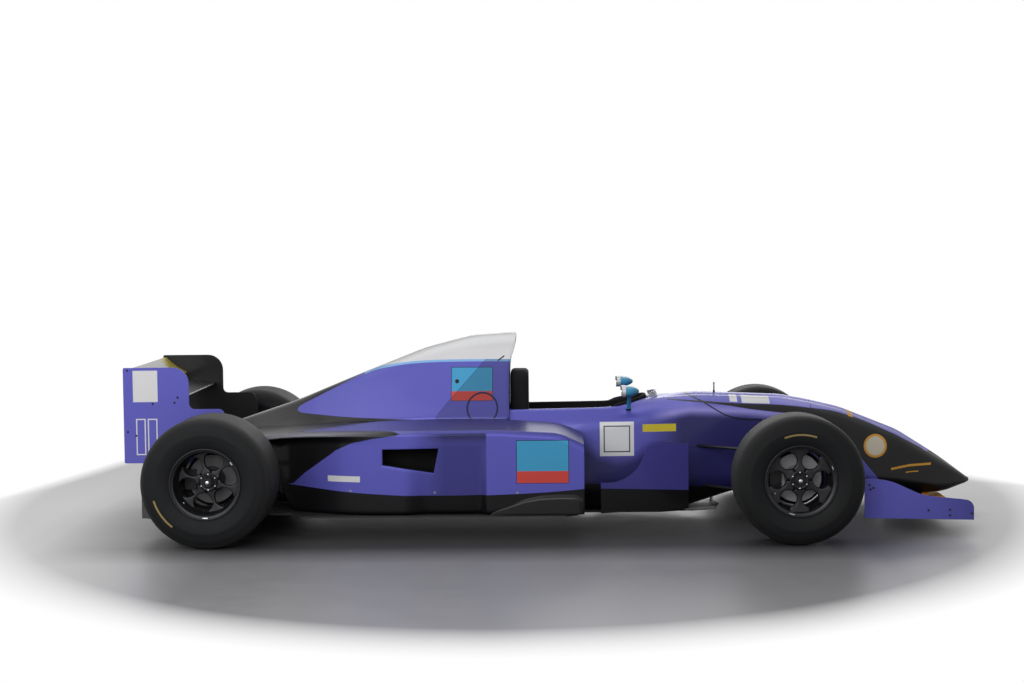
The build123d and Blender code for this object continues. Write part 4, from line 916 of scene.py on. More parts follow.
def sidepod():
    """Left sidepod: six cornered section carried along X, in over the inlet lip and back to the core. The flank's
    columns are set again so that two follow the outlet's lower and upper edge, its rows lean with the outlet's
    front edge, and what lies between sinks over a rounded rim."""
    rim = np.array([0.0, 0.0008, 0.002, 0.003, 0.0034])
    sink = np.array([0.0, 0.0003, 0.0012, 0.003, OUTLET_DEPTH])
    rear, front = OUTLET_LOW[0][0], OUTLET_LOW[1][0]
    xs = np.concatenate([np.linspace(-1.66, rear, 60)[:-1], rear + rim, np.linspace(rear + 0.02, front - 0.02, 22),
                         front - rim[::-1], np.linspace(front, -0.30, 30)[1:], np.linspace(-0.30, 0.14, 36)[1:]])
    shape = eased(POD, 0.07)
    arc, flat = 8, 14
    flats = {edge: np.linspace(0, 1, points)[1:-1] for edge, points in ((1, 60), (2, 24), (3, 16))}
    rows = [ring(pod_corners(xs, shape(xs)), POD_SOFT, arc, flat, flats)]
    for shift, inset in ((0.004, 0.004), (0.0, 0.012), (-0.004, 0.016), (-0.10, 0.020), (-0.20, 0.022),
                         (-0.395, 0.025)):
        x = xs[-1:]
        inner = ring(pod_corners(x, shape(x), inset), POD_SOFT, arc, flat, flats)
        inner[:, :, 0] += shift - 0.004
        rows.append(inner)
    grid = np.concatenate(rows)
    count = len(xs)
    # the flank: from the last point of the second corner's arc to the first of the fifth's
    first = 2 * (arc + 1) + flat - 1
    last = first + sum(len(points) for points in flats.values()) + 2 * (arc + 1) + 1
    flank = grid[:, first:last + 1]
    height = flank[:, :, 2] - flank[:, :1, 2]
    tall = height[:, -1]
    inside = np.flatnonzero((xs >= rear) & (xs <= front))

    def share(edge):
        """Height of an outlet edge as a share of the flank's, held before and behind the outlet."""
        s = (np.interp(xs, *zip(*edge)) - flank[:count, 0, 2]) / tall[:count]
        s[:inside[0]] = s[inside[0]]
        s[inside[-1]:] = s[inside[-1]]
        return np.append(s, np.full(len(grid) - count, s[-1]))[:, None]

    low, top = share(OUTLET_LOW), share(OUTLET_TOP)
    rise = rim / 0.42
    under, between, over = 15, 14, 18
    parts = [low * np.linspace(0, 1, under + 1)[:-1], low + rise, low + (top - low) * np.linspace(0.08, 0.92, between),
             top - rise[::-1], top + (1 - top) * np.linspace(0, 1, over)[1:]]
    at = np.concatenate(parts, 1) * tall[:, None]
    again = np.stack([[np.interp(a, h, line) for a, h, line in zip(at, height, flank[:, :, k])] for k in range(3)], -1)
    grid = np.concatenate([grid[:, :first], again, grid[:, last + 1:]], 1)
    body = grid[:count]
    lean = OUTLET_TOP[1][0] - front
    climb = np.clip((body[:, :, 2] - OUTLET_LOW[1][1]) / (OUTLET_TOP[1][1] - OUTLET_LOW[1][1]), 0, 1)
    x = body[:, :, 0] + lean * climb * np.interp(xs, (rear, front, front + 0.3), (0, 1, 0))[:, None]
    y, z = (np.stack([np.interp(a, xs, line) for a, line in zip(x.T, body[:, :, k].T)], 1) for k in (1, 2))

    def dip(size, start, end):
        """Depth along one way: nothing outside start to end, the rim's fall at both, the full depth between."""
        d = np.zeros(size)
        d[start:end + 1] = OUTLET_DEPTH
        d[start:start + len(sink)] = sink
        d[end + 1 - len(sink):end + 1] = sink[::-1]
        return d

    bottom = first + under
    depth = np.minimum.outer(dip(count, inside[0], inside[-1]),
                             dip(grid.shape[1], bottom, bottom + 2 * len(rim) + between - 1))
    grid[:count] = np.stack([x, y - depth, z], -1)
    dark = np.zeros(grid.shape[:2])
    dark[:count] = depth
    dark[count + 3:] = 1
    return painted(web(grid), dark > 0.01).outward()


def fairing():
    """Swelling low on the pod's side: a rounded five cornered section under a curved top line, up to 13 mm proud of
    the pod by the height of the line and the root of the distance to its front end."""
    foot, wall, low = 0.1225, 0.665, 0.126
    xs = np.concatenate([np.linspace(-0.335, 0.10, 40), np.linspace(0.105, 0.132, 8)])
    top = eased(FAIRING, 0.02)(xs)[:, 0]
    out = 0.700 + 0.013 * np.clip((top - low) / 0.05, 0.05, 1) * np.clip((0.136 - xs) / 0.02, 0.3, 1) ** 0.5
    y = np.stack([np.full_like(xs, wall), out, out, np.full_like(xs, 0.698), np.full_like(xs, wall)], -1)
    z = np.stack([np.full_like(xs, foot), np.full_like(xs, foot), foot + (top - foot) * 0.82, top, top], -1)
    corners = np.stack([np.broadcast_to(xs[:, None], y.shape), y, z], -1)
    return web(ring(corners, (0, 0.3, 0.7, 0.5, 0), 6, 4)).outward()


# ================ wheels
def tyre(width, radius, centre):
    """Slick tyre: closed profile turned round the axle, with a flat tread, round shoulders, bulged sides that
    carry a moulded ring, beads in the rim and the inner wall."""
    half = width / 2
    side = [(half - 0.026, BEAD_R - 0.001), (half - 0.0225, FLANGE_R - 0.003), (half - 0.016, FLANGE_R + 0.008),
            (half - 0.006, FLANGE_R + 0.028), (half - 0.001, FLANGE_R + 0.062), (half - 0.0008, FLANGE_R + 0.064),
            (half, FLANGE_R + 0.068), (half - 0.001, FLANGE_R + 0.072), (half - 0.003, radius - 0.050),
            (half - 0.007, radius - 0.034), (half - 0.014, radius - 0.020), (half - 0.024, radius - 0.010),
            (half - 0.038, radius - 0.0038), (half - 0.058, radius - 0.0008), (half - 0.080, radius)]
    inner = [(half - 0.085, radius - 0.013), (half - 0.035, radius - 0.022), (half - 0.014, radius - 0.060),
             (half - 0.016, FLANGE_R + 0.045), (half - 0.030, FLANGE_R + 0.010), (half - 0.052, BEAD_R + 0.012),
             (half - 0.050, BEAD_R - 0.001)]
    loop = side + [(0.0, radius)] + [(-s, r) for s, r in side[::-1]]
    loop += [(-s, r) for s, r in inner[::-1]] + [(0.0, radius - 0.013)] + inner
    return spun(loop, centre, 160)


def rim(width, centre):
    """Wheel barrel: stepped tube with rolled flanges, every corner rounded, turned round the axle."""
    half = width / 2 - LIP_INSET
    bead, drop = half - 0.012, half - 0.072
    outer = [(half, FLANGE_R), (half - 0.008, FLANGE_R), (bead, BEAD_R), (drop, BEAD_R), (drop - 0.02, BEAD_R - 0.012)]
    outer += [(-s, r) for s, r in outer[::-1]]
    inner = [(s, r - 0.007) for s, r in outer[::-1]]
    return spun(rounded(outer + inner, 0.0024, 3), centre, 128)


def spokes(width, depth, turn, centre, window):
    """Six spokes between round windows: a bar carried outwards whose half width is what the circle on each side
    leaves, sin(30) d - sqrt(r^2 - (reach - cos(30) d)^2), and never more than the sixth it stands in."""
    count, face = 6, width / 2 - depth
    away = 0.108
    start, end = 0.030, 0.156
    reach = np.concatenate([np.linspace(start, 0.052, 5), np.linspace(0.056, 0.134, 22), np.linspace(0.138, end, 4)])
    gap = np.sqrt(np.maximum(window ** 2 - (reach - away * math.cos(math.pi / 6)) ** 2, 0))
    half = np.minimum(away / 2 - gap, reach * math.tan(math.pi / 6))
    front = face - 0.004 * np.sin(np.clip((reach - start) / 0.126, 0, 1) * math.pi)
    back = face - np.interp(reach, (start, end), (SPOKE_DEPTH, 0.024))
    patches = []
    for a in np.radians(90 + turn + 360 / count * np.arange(count)):
        out = np.array([math.cos(a), 0, math.sin(a)])
        side = np.array([-math.sin(a), 0, math.cos(a)])
        corners = [(-1, back), (1, back), (0.90, front), (-0.90, front)]
        points = [reach[:, None] * out + (s * half)[:, None] * side + y[:, None] * np.array([0, 1.0, 0])
                  for s, y in corners]
        grid = ring(np.stack(points, 1), (0.2, 0.2, 0.6, 0.6), 4, 2)
        patches.append(web(grid + np.asarray(centre)).outward())
    return patches


def hub(width, depth, inner, centre):
    """Hub boss with a recessed ring, a six sided nut, its locking pin with a bright end, the shaft from inner
    outwards, and six bolts on a circle; every profile is turned round the axle."""
    face = width / 2 - depth

    def from_face(*profile):
        """Profile whose offsets are counted from the spoked face."""
        return [(face + s, r) for s, r in profile]

    boss = from_face((-0.030, 0.0), (-0.030, 0.052), (-0.004, 0.050), (0.003, 0.047), (0.005, 0.043),
                     (0.002, 0.040), (0.001, 0.036), (0.001, 0.0))
    nut = from_face((0, 0.0), (0, 0.030), (0.016, 0.030), (0.019, 0.027), (0.019, 0.0))
    collar = from_face((0.016, 0.0), (0.016, 0.0225), (0.028, 0.0215), (0.030, 0.0195), (0.030, 0.015),
                       (0.022, 0.014), (0.022, 0.0))
    pin = from_face((0.020, 0.0), (0.020, 0.009), (0.033, 0.0085), (0.0338, 0.007), (0.034, 0.0))
    bolt = [(-0.002, 0.0), (-0.002, 0.0034), (0.005, 0.0034), (0.0058, 0.002), (0.0058, 0.0)]
    shaft = [(inner, 0.0), (inner, 0.030), (face - 0.02, 0.030), (face - 0.02, 0.0)]
    patches = [spun(boss, centre, 64), spun(nut, centre, 6), spun(collar, centre, 40), spun(shaft, centre, 32)]
    bolt_circle = 0.0395
    for a in np.radians(60 * np.arange(6) + 30):
        place = np.asarray(centre) + (bolt_circle * math.cos(a), face, bolt_circle * math.sin(a))
        patches.append(spun(bolt, place, 12, 1))
    return patches + [spun(pin, centre, 24, finish=1)]


def brake(face, centre, place):
    """Brake disc: two rings with a gap between, joined to a bell; one profile turned round the axle."""
    r, t = 0.122, 0.013
    loop = [(-t, 0.062), (-t, r - 0.001), (-t + 0.001, r), (-0.004, r), (-0.004, r - 0.010), (0.004, r - 0.010),
            (0.004, r), (t - 0.001, r), (t, r - 0.001), (t, 0.066)]
    bell = [(face - place, 0.060), (face - place, 0.050), (-t, 0.050)]
    return spun(loop + bell, (centre[0], place, centre[2]), 96, finish=2)


def shield(centre, place):
    """Thin dished guard behind the brake disc, turned round the axle."""
    loop = [(0.0, 0.058), (0.0, 0.120), (0.006, 0.138), (0.003, 0.139), (-0.003, 0.121), (-0.003, 0.058)]
    return spun(loop, (centre[0], place, centre[2]), 72)


def wheel_details(width, turn, centre):
    """Valve stem and balance weights on the barrel's outer lip: a short slanting bar, and two bars along arcs of the
    lip."""
    half = width / 2 - LIP_INSET
    centre = np.asarray(centre)
    a = math.radians(turn + 205)
    out = np.array([math.cos(a), 0, math.sin(a)])
    base = centre + out * 0.150 + (0, half - 0.030, 0)
    stem = base + np.linspace(0, 1, 6)[:, None] * (np.array([0, 0.018, 0]) - 0.010 * out)
    patches = [tube(stem, (0.0045, 0.0045, 0.004, 0.003, 0.003, 0.0026), 12, finish=1)]
    for start, size in ((turn + 250, 9), (turn + 20, 6)):
        t = np.radians(start + np.linspace(0, size, 8))
        path = np.stack([np.cos(t), np.zeros(8), np.sin(t)], -1) * (FLANGE_R - 0.0105) + centre + (0, half - 0.006, 0)
        patches.append(tube(path, 0.0036, 8, finish=1))
    return patches


# ================ small pieces
def arm(start, end, chord):
    """Streamlined suspension leg: oval bar with its chord level, a little slimmer over an eighth at both ends."""
    t = np.linspace(0, 1, 14)[:, None]
    slim = 0.78 + 0.22 * np.minimum(1, 8 * np.minimum(t[:, 0], 1 - t[:, 0]))
    return tube(np.asarray(start) + t * (np.asarray(end) - start), chord / 2 * slim, 24, ARM_THICKNESS / chord)


def joint(place):
    """Spherical joint: a rounded ring standing on its axis with a cap over the ball."""
    radius, height = 0.016, 0.020
    z = np.array([-1, -0.96, -0.8, 0.8, 0.96, 1]) * height / 2
    r = np.array([0.86, 0.95, 1, 1, 0.95, 0.86]) * radius
    body = tube(np.asarray(place) + z[:, None] * (0, 0, 1), r, 24)
    cap = tube(np.asarray(place) + np.array([0.5, 0.62, 0.7])[:, None] * (0, 0, height), (0.009, 0.009, 0.006), 12)
    return [body, cap]


def fastener(place):
    """Button head screw: a low dome with a socket, turned about its own axis along Y."""
    radius = 0.006
    profile = [(-0.001, 0.0), (-0.001, radius), (0.0006, radius), (0.0018, radius * 0.75), (0.0022, radius * 0.4),
               (0.0010, radius * 0.36), (0.0010, 0.0)]
    return spun(profile, place, 16)


def headrest():
    """Pad behind the driver's head: a rounded four cornered section carried forwards, drawn in over both ends by a
    quarter round of radius r, with a 4 mm crown that follows a half sine."""
    length, r = 0.097, 0.020
    d = np.array([0, 0.001, 0.003, 0.007, 0.013, 0.020, 0.034])
    t = np.concatenate([d, length - d[::-1]])
    near = np.minimum(t, length - t)
    inset = r - np.sqrt(np.maximum(r * r - (r - np.minimum(near, r)) ** 2, 0))
    crown = 0.004 * np.sin(np.clip(t / length, 0, 1) * math.pi)
    half_low, half_top = 0.148 - inset + crown, 0.122 - inset + crown
    low, top = 0.566 + inset, 0.812 - inset + crown * 0.3
    x = -0.240 + t
    sides = ((half_low, low), (half_top, top), (-half_top, top), (-half_low, low))
    corners = np.stack([np.stack([x, y, z], -1) for y, z in sides], 1)
    return web(ring(corners, (0.25, 0.5, 0.5, 0.25), 10, 14)).outward()


def harness():
    """Seat belts: flat bands along paths down the seat back, across the lap and between the legs, meeting at a
    round buckle."""
    patches = []
    buckle = np.array([-0.005, 0, 0.262])
    shoulder = np.array([[-0.205, 0.055, 0.575], [-0.185, 0.060, 0.535], [-0.135, 0.058, 0.420],
                         [-0.075, 0.045, 0.315], [-0.02, 0.012, 0.270]])
    lap = np.array([[-0.06, 0.148, 0.235], [-0.03, 0.10, 0.262], [-0.012, 0.05, 0.268], [-0.008, 0.015, 0.266]])
    for side in (1, -1):
        for path, flat in ((shoulder, 0.07), (lap, 0.10)):
            fine, _ = followed(path * (1, side, 1), 24)
            patches.append(tube(fine, 0.024, 12, flat))
    legs = np.array([[0.085, 0, 0.135], [0.04, 0, 0.20], [0.005, 0, 0.255]])
    patches.append(tube(legs, 0.020, 12, 0.08))
    way = unit(np.array([0.75, 0, 0.66]))
    t = np.array([-0.008, -0.006, 0.006, 0.009, 0.010])[:, None]
    patches.append(tube(buckle + t * way, (0.026, 0.030, 0.030, 0.024, 0.010), 32, finish=1))
    return patches


def steering_wheel():
    """Steering wheel on its tilted plane: a closed grip whose outline is a power of the cosine and the sine, a
    rounded eight cornered plate, a boss that narrows into the column, and six buttons."""
    a = math.radians(12)
    centre = np.array([0.352, 0, 0.500])
    across, up = np.array([0, 1.0, 0]), np.array([math.sin(a), 0, math.cos(a)])
    ahead = np.array([math.cos(a), 0, -math.sin(a)])

    def at(u, v, w=0.0):
        """Point u across, v up and w ahead of the middle."""
        u, v, w = np.broadcast_arrays(np.asarray(u, float), v, w)
        return centre + u[..., None] * across + v[..., None] * up + w[..., None] * ahead

    c, s = oval(96, (0.72, 0.80))
    patches = [tube(at(0.117 * c, 0.082 * s), 0.0105, 16, closed=True)]
    outline = rounded([(-0.106, -0.020), (-0.058, -0.034), (0.058, -0.034), (0.106, -0.020), (0.106, 0.020),
                       (0.058, 0.034), (-0.058, 0.034), (-0.106, 0.020)], 0.010, 5)
    rows = [at(outline[:, 0] * k, outline[:, 1] * k, w)
            for k, w in ((0.97, -0.006), (1, -0.004), (1, 0.004), (0.97, 0.006))]
    patches.append(web(np.stack(rows), finish=1).outward())
    column = at(0, 0, np.array([-0.016, -0.014, 0.02, 0.03, 0.20, 0.29]))
    patches.append(tube(column, (0.030, 0.034, 0.034, 0.014, 0.014, 0.014), 32, finish=1))
    places = [(side * u, v) for side in (-1, 1) for u, v in ((0.085, 0.010), (0.062, 0.021), (0.062, -0.020))]
    for k, (u, v) in enumerate(places):
        path = at(u, v, np.array([-0.004, -0.011, -0.0125]))
        patches.append(tube(path, (0.0065, 0.0065, 0.004), 16, finish=2 + k % 2))
    return patches


def mirror():
    """Mirror pod: an oval section (a power of the cosine and the sine) carried back from a round tip, a bright
    bezel, a dark rim and glass set in it; one flat stalk carries it, from a small dark foot."""
    front, rear = 0.440, 0.369
    turns = 48
    t = np.array([0, 0.004, 0.015, 0.035, 0.07, 0.13, 0.22, 0.34, 0.48, 0.64, 0.82, 1.0])
    x = front + (rear - front) * t
    grow = (1 - (1 - t) ** 2.4) ** 0.55
    x = np.concatenate([x, [0.368, 0.348, 0.347, 0.3455, 0.344, 0.344, 0.349, 0.349]])
    wide = np.concatenate([0.064 * grow, [0.0665, 0.0665, 0.0665, 0.0660, 0.0650, 0.0600, 0.0595, 0.004]])
    tall = np.concatenate([0.0275 * grow, [0.0300, 0.0300, 0.0300, 0.0296, 0.0290, 0.0250, 0.0245, 0.002]])
    marks = np.concatenate([np.zeros(len(t) + 1), [1, 2, 2, 2, 2, 3, 3]]).astype(int)
    c, s = oval(turns, (0.75, 0.75))
    y = 0.323 + wide[:, None] * c
    z = 0.715 + tall[:, None] * s
    patch = web(np.stack([np.broadcast_to(x[:, None], y.shape), y, z], -1))
    steps = np.maximum(marks[:-1], marks[1:])
    patch.finish = np.repeat(steps, turns).tolist() + [0] * turns + [3] * turns
    bend = np.array([[0.388, 0.196, 0.592], [0.390, 0.225, 0.636], [0.391, 0.265, 0.676], [0.392, 0.300, 0.702]])
    base = np.array([[0.388, 0.192, 0.588], [0.3885, 0.202, 0.603], [0.389, 0.208, 0.611]])
    return [patch.outward(), tube(bend, 0.011, 20, 0.3), tube(base, 0.0145, 20, 0.4, finish=2)]


def screen():
    """Low clear wind screen: a thin wall along an arc round the front of the cockpit mouth, leaning back; its
    height falls towards its ends by the cosine of the angle to the power 0.8."""
    a = np.radians(np.linspace(-54, 54, 33))[:, None]
    thick = np.array([0.0, 0.0, 0.0025, 0.0025])
    lift = np.array([0.0, 1.0, 1.0, 0.0])
    tall = 0.030 * np.cos(a) ** 0.8
    r = 0.112 - thick - 0.012 * lift
    x = 0.445 + r * np.cos(a)
    y = r * np.sin(a)
    z = 0.660 + 0.004 * np.cos(a) + tall * lift
    return web(np.stack([x, y, z], -1)).outward()


def coaming():
    """Padded roll round the front of the cockpit mouth, slimmer and 12 mm lower at its ends."""
    half = np.array([[0.270, 0.190, 0.618], [0.340, 0.176, 0.630], [0.400, 0.152, 0.644], [0.445, 0.118, 0.655],
                     [0.470, 0.078, 0.662], [0.482, 0.038, 0.666], [0.484, 0.0, 0.668]])
    path = np.concatenate([half, half[-2::-1] * (1, -1, 1)])
    fine, t = followed(path, 61)
    ends = np.minimum(1, np.minimum(t, len(path) - 1 - t) * 0.9 + 0.15)
    return tube(fine - (1 - ends)[:, None] * (0, 0, 0.012), 0.0095 * ends, 12)


def mast():
    """Aerial: a thin upright rod with a round tip on a small foot."""
    z = np.array([0.664, 0.686, 0.690, 0.722, 0.7245, 0.728, 0.7305, 0.7315])
    radius = (0.006, 0.0055, 0.0034, 0.0032, 0.0040, 0.0042, 0.003, 0.001)
    return tube(np.stack([np.full_like(z, 0.863), np.zeros_like(z), z], -1), radius, 12)


def rear_plate():
    """Rear wing endplate: flat plate over its side outline, each corner rounded by its own radius."""
    outline = rounded([(-2.241, 0.375), (-2.241, 0.872), (-1.899, 0.872), (-1.899, 0.655), (-1.728, 0.655),
                       (-1.701, 0.600), (-1.701, 0.520), (-1.82, 0.500), (-1.871, 0.375)],
                      (0.008, 0.008, 0.085, 0.028, 0.030, 0.020, 0.02, 0.03, 0.02))
    return plate(outline, *REAR_PLATE_Y)


def front_plate():
    """Front wing endplate: flat plate whose top edge falls forwards in two easy curves to a round front corner."""
    top = eased(((1.554, 0.292), (1.60, 0.294), (1.66, 0.286), (1.71, 0.272), (1.78, 0.239), (1.83, 0.216),
                 (1.89, 0.203), (1.96, 0.196), (2.04, 0.188), (2.10, 0.178)), 0.02)
    xs = np.linspace(1.554, 2.060, 44)
    upper = np.stack([xs, top(xs)[:, 0]], -1)
    turn = np.radians(np.linspace(80, 0, 10))
    corner = np.stack([2.060 + 0.046 * np.cos(turn), 0.139 + 0.046 * np.sin(turn)], -1)
    outline = np.concatenate([upper, corner, [(2.106, 0.083), (2.104, 0.081), (1.558, 0.094), (1.554, 0.098)]])
    return plate(outline, *FRONT_PLATE_Y)


# ================ make
CARBON = carbon()
INSIDE = dull_black()
STEEL = cast_metal("dark_steel", (0.020, 0.020, 0.022), 0.7, 0.32)
BRIGHT = cast_metal("bright_steel", (0.55, 0.55, 0.56), 1.0, 0.22)
ALLOY = cast_metal("cast_alloy", (0.16, 0.16, 0.17), 0.9, 0.42)
MAGNESIUM = cast_metal("wheel_magnesium", GRAPHITE, 0.4, 0.34)
DISC_STEEL = cast_metal("disc_steel", (0.42, 0.42, 0.44), 0.25, 0.45, 500)
DISC_GREY = cast_metal("disc_carbon", (0.10, 0.10, 0.105), 0.5, 0.38, 700)
GLASS = cast_metal("mirror_glass", (0.85, 0.86, 0.88), 1.0, 0.03, 40)
VIOLET_PAINT = plain_lacquer("violet_lacquer", VIOLET)
BLACK_PAINT = plain_lacquer("black_lacquer", BLACK_LACQUER, 0.0)
TURQUOISE_PAINT = plain_lacquer("turquoise_lacquer", TURQUOISE, 0.1)
CLOTH = foam_cloth("pad_cloth", (0.0055, 0.0055, 0.007))
BELT = foam_cloth("belt_webbing", (0.03, 0.03, 0.09))

BODY_PAINT = hull_finish()
piece("tub_skin", tub(), [BODY_PAINT, INSIDE], stands_for=["monocoque"])
piece("coaming_roll", coaming(), CLOTH)
piece("wind_screen_skin", screen(), tinted_screen(), stands_for=["windscreen"])
piece("aerial_skin", mast(), INSIDE, stands_for=["pitot"])
piece("nose_skin", nose(), BODY_PAINT, stands_for=["nose_cone"])
piece("cover_skin", engine_cover(), [cover_finish(), INSIDE], stands_for=["engine_cover"])
POD_PAINT = pod_finish()
FAIRING_PAINT = plain_lacquer("skirt_lacquer", BLACK_LACQUER, 0.0)
for side in ("left", "right"):
    piece("sidepod_skin_" + side, on_side(side, sidepod()), [POD_PAINT, INSIDE], stands_for=["sidepod_" + side])
    piece("sidepod_swelling_" + side, on_side(side, fairing()), FAIRING_PAINT)

for name, x, y, z, width, depth, turn, mark, span, inner, disc, window in WHEELS:
    cloth = rubber("slick_rubber_" + name, x, z, mark, span)
    place = (x, y, z)
    face = y + width / 2 - depth - SPOKE_DEPTH
    parts = [rim(width, place)] + spokes(width, depth, turn, place, window) + wheel_details(width, turn, place)
    parts += hub(width, depth, inner - y, place) + [brake(face, place, disc)]
    tread = tyre(width, z, place)
    guard = shield(place, disc - GUARD_GAP)
    disc_face = {"front": DISC_STEEL, "rear": DISC_GREY}[name]
    for side in ("left", "right"):
        tag = name + "_" + side
        holder = {"front": "knuckle_" + side[0], "rear": "chassis"}[name]
        piece("brake_guard_" + tag, on_side(side, guard), INSIDE, holder)
        piece("wheel_skin_" + tag, on_side(side, *parts), [MAGNESIUM, BRIGHT, disc_face], tag, ["wheel_" + tag])
        piece("tyre_skin_" + tag, on_side(side, tread), cloth, tag, ["tyre_" + tag], 50)

for node in ("front_arms", "rear_arms"):
    rows = [row[1:] for row in ARMS if row[0] == node]
    parts = [arm(tip, end, chord) for chord, tip, ends in rows for end in ends]
    for tip in sorted(tip for chord, tip, ends in rows if chord == WISHBONE_CHORD):
        parts += joint(tip)
    for side in ("left", "right"):
        piece(node + "_skin_" + side, on_side(side, *parts), STEEL, stands_for=[node + "_" + side])

piece("headrest_pad", headrest(), CLOTH, stands_for=["headrest"])
piece("belts", harness(), [BELT, ALLOY])
BUTTONS = [plain_lacquer("button_red", (0.4, 0.02, 0.02), 0.0), plain_lacquer("button_yellow", YELLOW, 0.0)]
piece("steering_wheel_skin", steering_wheel(), [CLOTH, CARBON] + BUTTONS, "steering_wheel_body",
      ["steering_wheel"])
BEZEL = plain_lacquer("bezel_silver", (0.55, 0.56, 0.58), 0.3)
piece("mirror_skins", both_sides(*mirror()), [TURQUOISE_PAINT, BEZEL, BLACK_PAINT, GLASS],
      stands_for=["mirrors"])
soften(piece("rear_endplate_skins", both_sides(rear_plate()), wing_end_finish(), stands_for=["rear_endplates"]))
soften(piece("front_endplate_skins", both_sides(front_plate()), front_plate_finish(), stands_for=["front_endplates"]))
screws = [fastener((x, y, z)) for y, places in FASTENERS for x, z in places]
piece("fasteners", both_sides(*screws), STEEL)

CAD_FINISH = {
    "floor_pan": tray_finish(), "plank": plank_wood(), "diffuser": CARBON, "radiators": ALLOY,
    "bargeboards": two_tone("board_lacquer", BOARD_VIOLET, BLACK_LACQUER, 0.250, -0.072),
    "front_wing_flaps": VIOLET_PAINT, "front_wing": front_wing_finish(), "rear_wing_flap": flap_finish(),
    "rear_wing": BLACK_PAINT, "rear_beam_wing": BLACK_PAINT, "seat": CARBON, "dash_panel": CARBON,
    "engine_block": ALLOY, "gearbox": ALLOY, "crash_structure": CARBON,
    "rain_light": plain_lacquer("lamp_red", (0.25, 0.01, 0.01), 0.0),
    "rear_uprights": STEEL, "knuckle": STEEL, "track_rods": STEEL, "driveshaft": STEEL,
}
for node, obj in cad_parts.items():
    finish = CAD_FINISH.get(node) or next((m for k, m in CAD_FINISH.items() if node.startswith(k)), None)
    if finish:
        for holder in obj.material_slots:
            holder.material = finish


# ================ stage
def floor():
    """Pale floor: grey near the car, paler past its wheels, with a painted shadow under it, and fading to plain
    white outside an oval about it and behind two slanting lines."""
    f = Finish("studio_floor")
    far = (((f.x + 0.24) / 3.34) ** 2 + ((f.y - 1.2) / 4.66) ** 2) ** 0.5
    x = f.x + 0.1
    behind = (x * 1.9 + f.y).above(6.55, 0.22).most((x * -5.5 + f.y).above(18.2, 0.5))
    fade = far.above(0.905, 0.055).most(behind)
    speck = f.noise(6, 5.0, 0.6)
    tone = f.mix(speck, (0.225, 0.222, 0.237), (0.275, 0.272, 0.286))
    tone = f.mix(((abs(f.x + 0.05) - 1.6) * 0.85).most(0).least(0.95), tone, (0.84, 0.84, 0.84))
    # painted shadow: the floor 80 parts in 100 darker in a soft patch under the car and its wheels
    under = abs(f.x + 0.3).below(2.0, 0.3) * abs(f.y + 0.12).below(1.02, 0.22)
    tone = f.mix(fade, f.scaled(tone, 1 - under * 0.8), (0.8, 0.8, 0.8))
    f.made(Base_Color=tone, Roughness=0.34 + speck * 0.1, Specular_IOR_Level=0.28)
    seen = f.node("ShaderNodeLightPath", out="Is Camera Ray")
    glow = f.node("ShaderNodeEmission", None, {"Color": (1, 1, 1), "Strength": 1.0})
    surface = f.node("ShaderNodeMixShader", None, {0: fade * seen, 1: Value(f, f.shader.outputs[0]), 2: glow})
    f.tree.links.new(surface.socket, f.tree.nodes["Material Output"].inputs["Surface"])
    mesh = bpy.data.meshes.new("floor")
    side = 40.0
    mesh.from_pydata([(-side, -side, 0), (side, -side, 0), (side, side, 0), (-side, side, 0)], [], [(0, 1, 2, 3)])
    mesh.materials.append(f.material)
    obj = bpy.data.objects.new("floor", mesh)
    bpy.context.scene.collection.objects.link(obj)


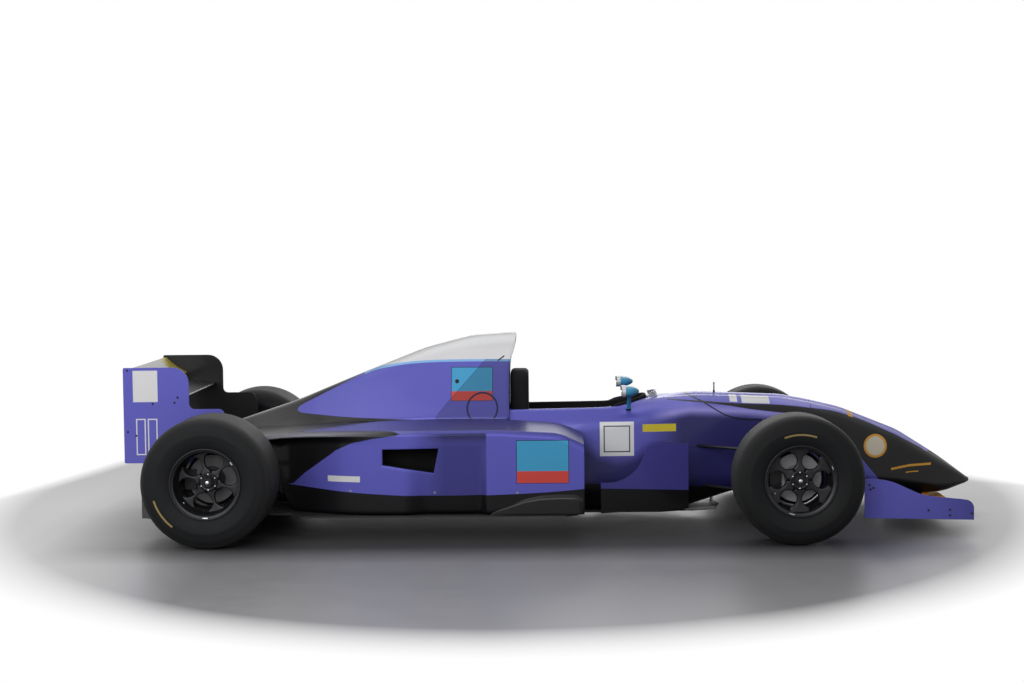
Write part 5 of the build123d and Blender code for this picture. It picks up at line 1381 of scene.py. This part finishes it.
def lamp(name, place, size, power):
    """Rectangular lamp turned towards the middle of the car."""
    data = bpy.data.lights.new(name, "AREA")
    data.shape = "RECTANGLE"
    data.size, data.size_y = size
    data.energy = power
    obj = bpy.data.objects.new(name, data)
    obj.location = place
    away = unit(np.array(place) - np.array(LAMP_AIM))
    side = unit(np.cross((0, 1.0, 0) if abs(away[2]) > 0.99 else (0, 0, 1.0), away))
    up = np.cross(away, side)
    obj.rotation_euler = Matrix(np.column_stack([side, up, away]).tolist()).to_euler()
    bpy.context.scene.collection.objects.link(obj)


def light():
    """White world, dim on what it lights and full where it is seen directly, in a reflection or through glass;
    three lamps."""
    world = bpy.data.worlds.new("studio")
    bpy.context.scene.world = world
    world.use_nodes = True
    nodes, links = world.node_tree.nodes, world.node_tree.links
    back = nodes["Background"]
    back.inputs["Color"].default_value = (1, 1, 1, 1)
    path = nodes.new("ShaderNodeLightPath")
    seen = path.outputs["Is Camera Ray"]
    for ray in ("Is Glossy Ray", "Is Transmission Ray"):
        either = nodes.new("ShaderNodeMath")
        either.operation = "MAXIMUM"
        links.new(seen, either.inputs[0])
        links.new(path.outputs[ray], either.inputs[1])
        seen = either.outputs[0]
    strength = nodes.new("ShaderNodeMapRange")
    strength.inputs["To Min"].default_value = WORLD_FILL
    strength.inputs["To Max"].default_value = 1.0
    links.new(seen, strength.inputs["Value"])
    links.new(strength.outputs[0], back.inputs["Strength"])
    for name, place, size, power in LAMPS:
        lamp(name, place, size, power)


def camera():
    """Camera at its place: yaw from ahead towards +X, then pitch down, then roll about the line of sight."""
    yaw, pitch, roll = (math.radians(a) for a in (CAMERA_YAW, CAMERA_PITCH, CAMERA_ROLL))
    right = np.array([math.cos(yaw), -math.sin(yaw), 0])
    ahead = np.array([math.sin(yaw) * math.cos(pitch), math.cos(yaw) * math.cos(pitch), -math.sin(pitch)])
    up = np.cross(right, ahead)
    side = math.cos(roll) * right + math.sin(roll) * up
    top = -math.sin(roll) * right + math.cos(roll) * up
    data = bpy.data.cameras.new("camera")
    data.lens = CAMERA_LENS
    data.sensor_width = SENSOR_WIDTH
    obj = bpy.data.objects.new("camera", data)
    turn = Matrix(np.column_stack([side, top, -ahead]).tolist()).to_4x4()
    obj.matrix_world = Matrix.Translation(CAMERA_PLACE) @ turn
    bpy.context.scene.collection.objects.link(obj)
    bpy.context.scene.camera = obj


floor()
light()
camera()
bpy.context.scene.view_settings.view_transform = "Standard"
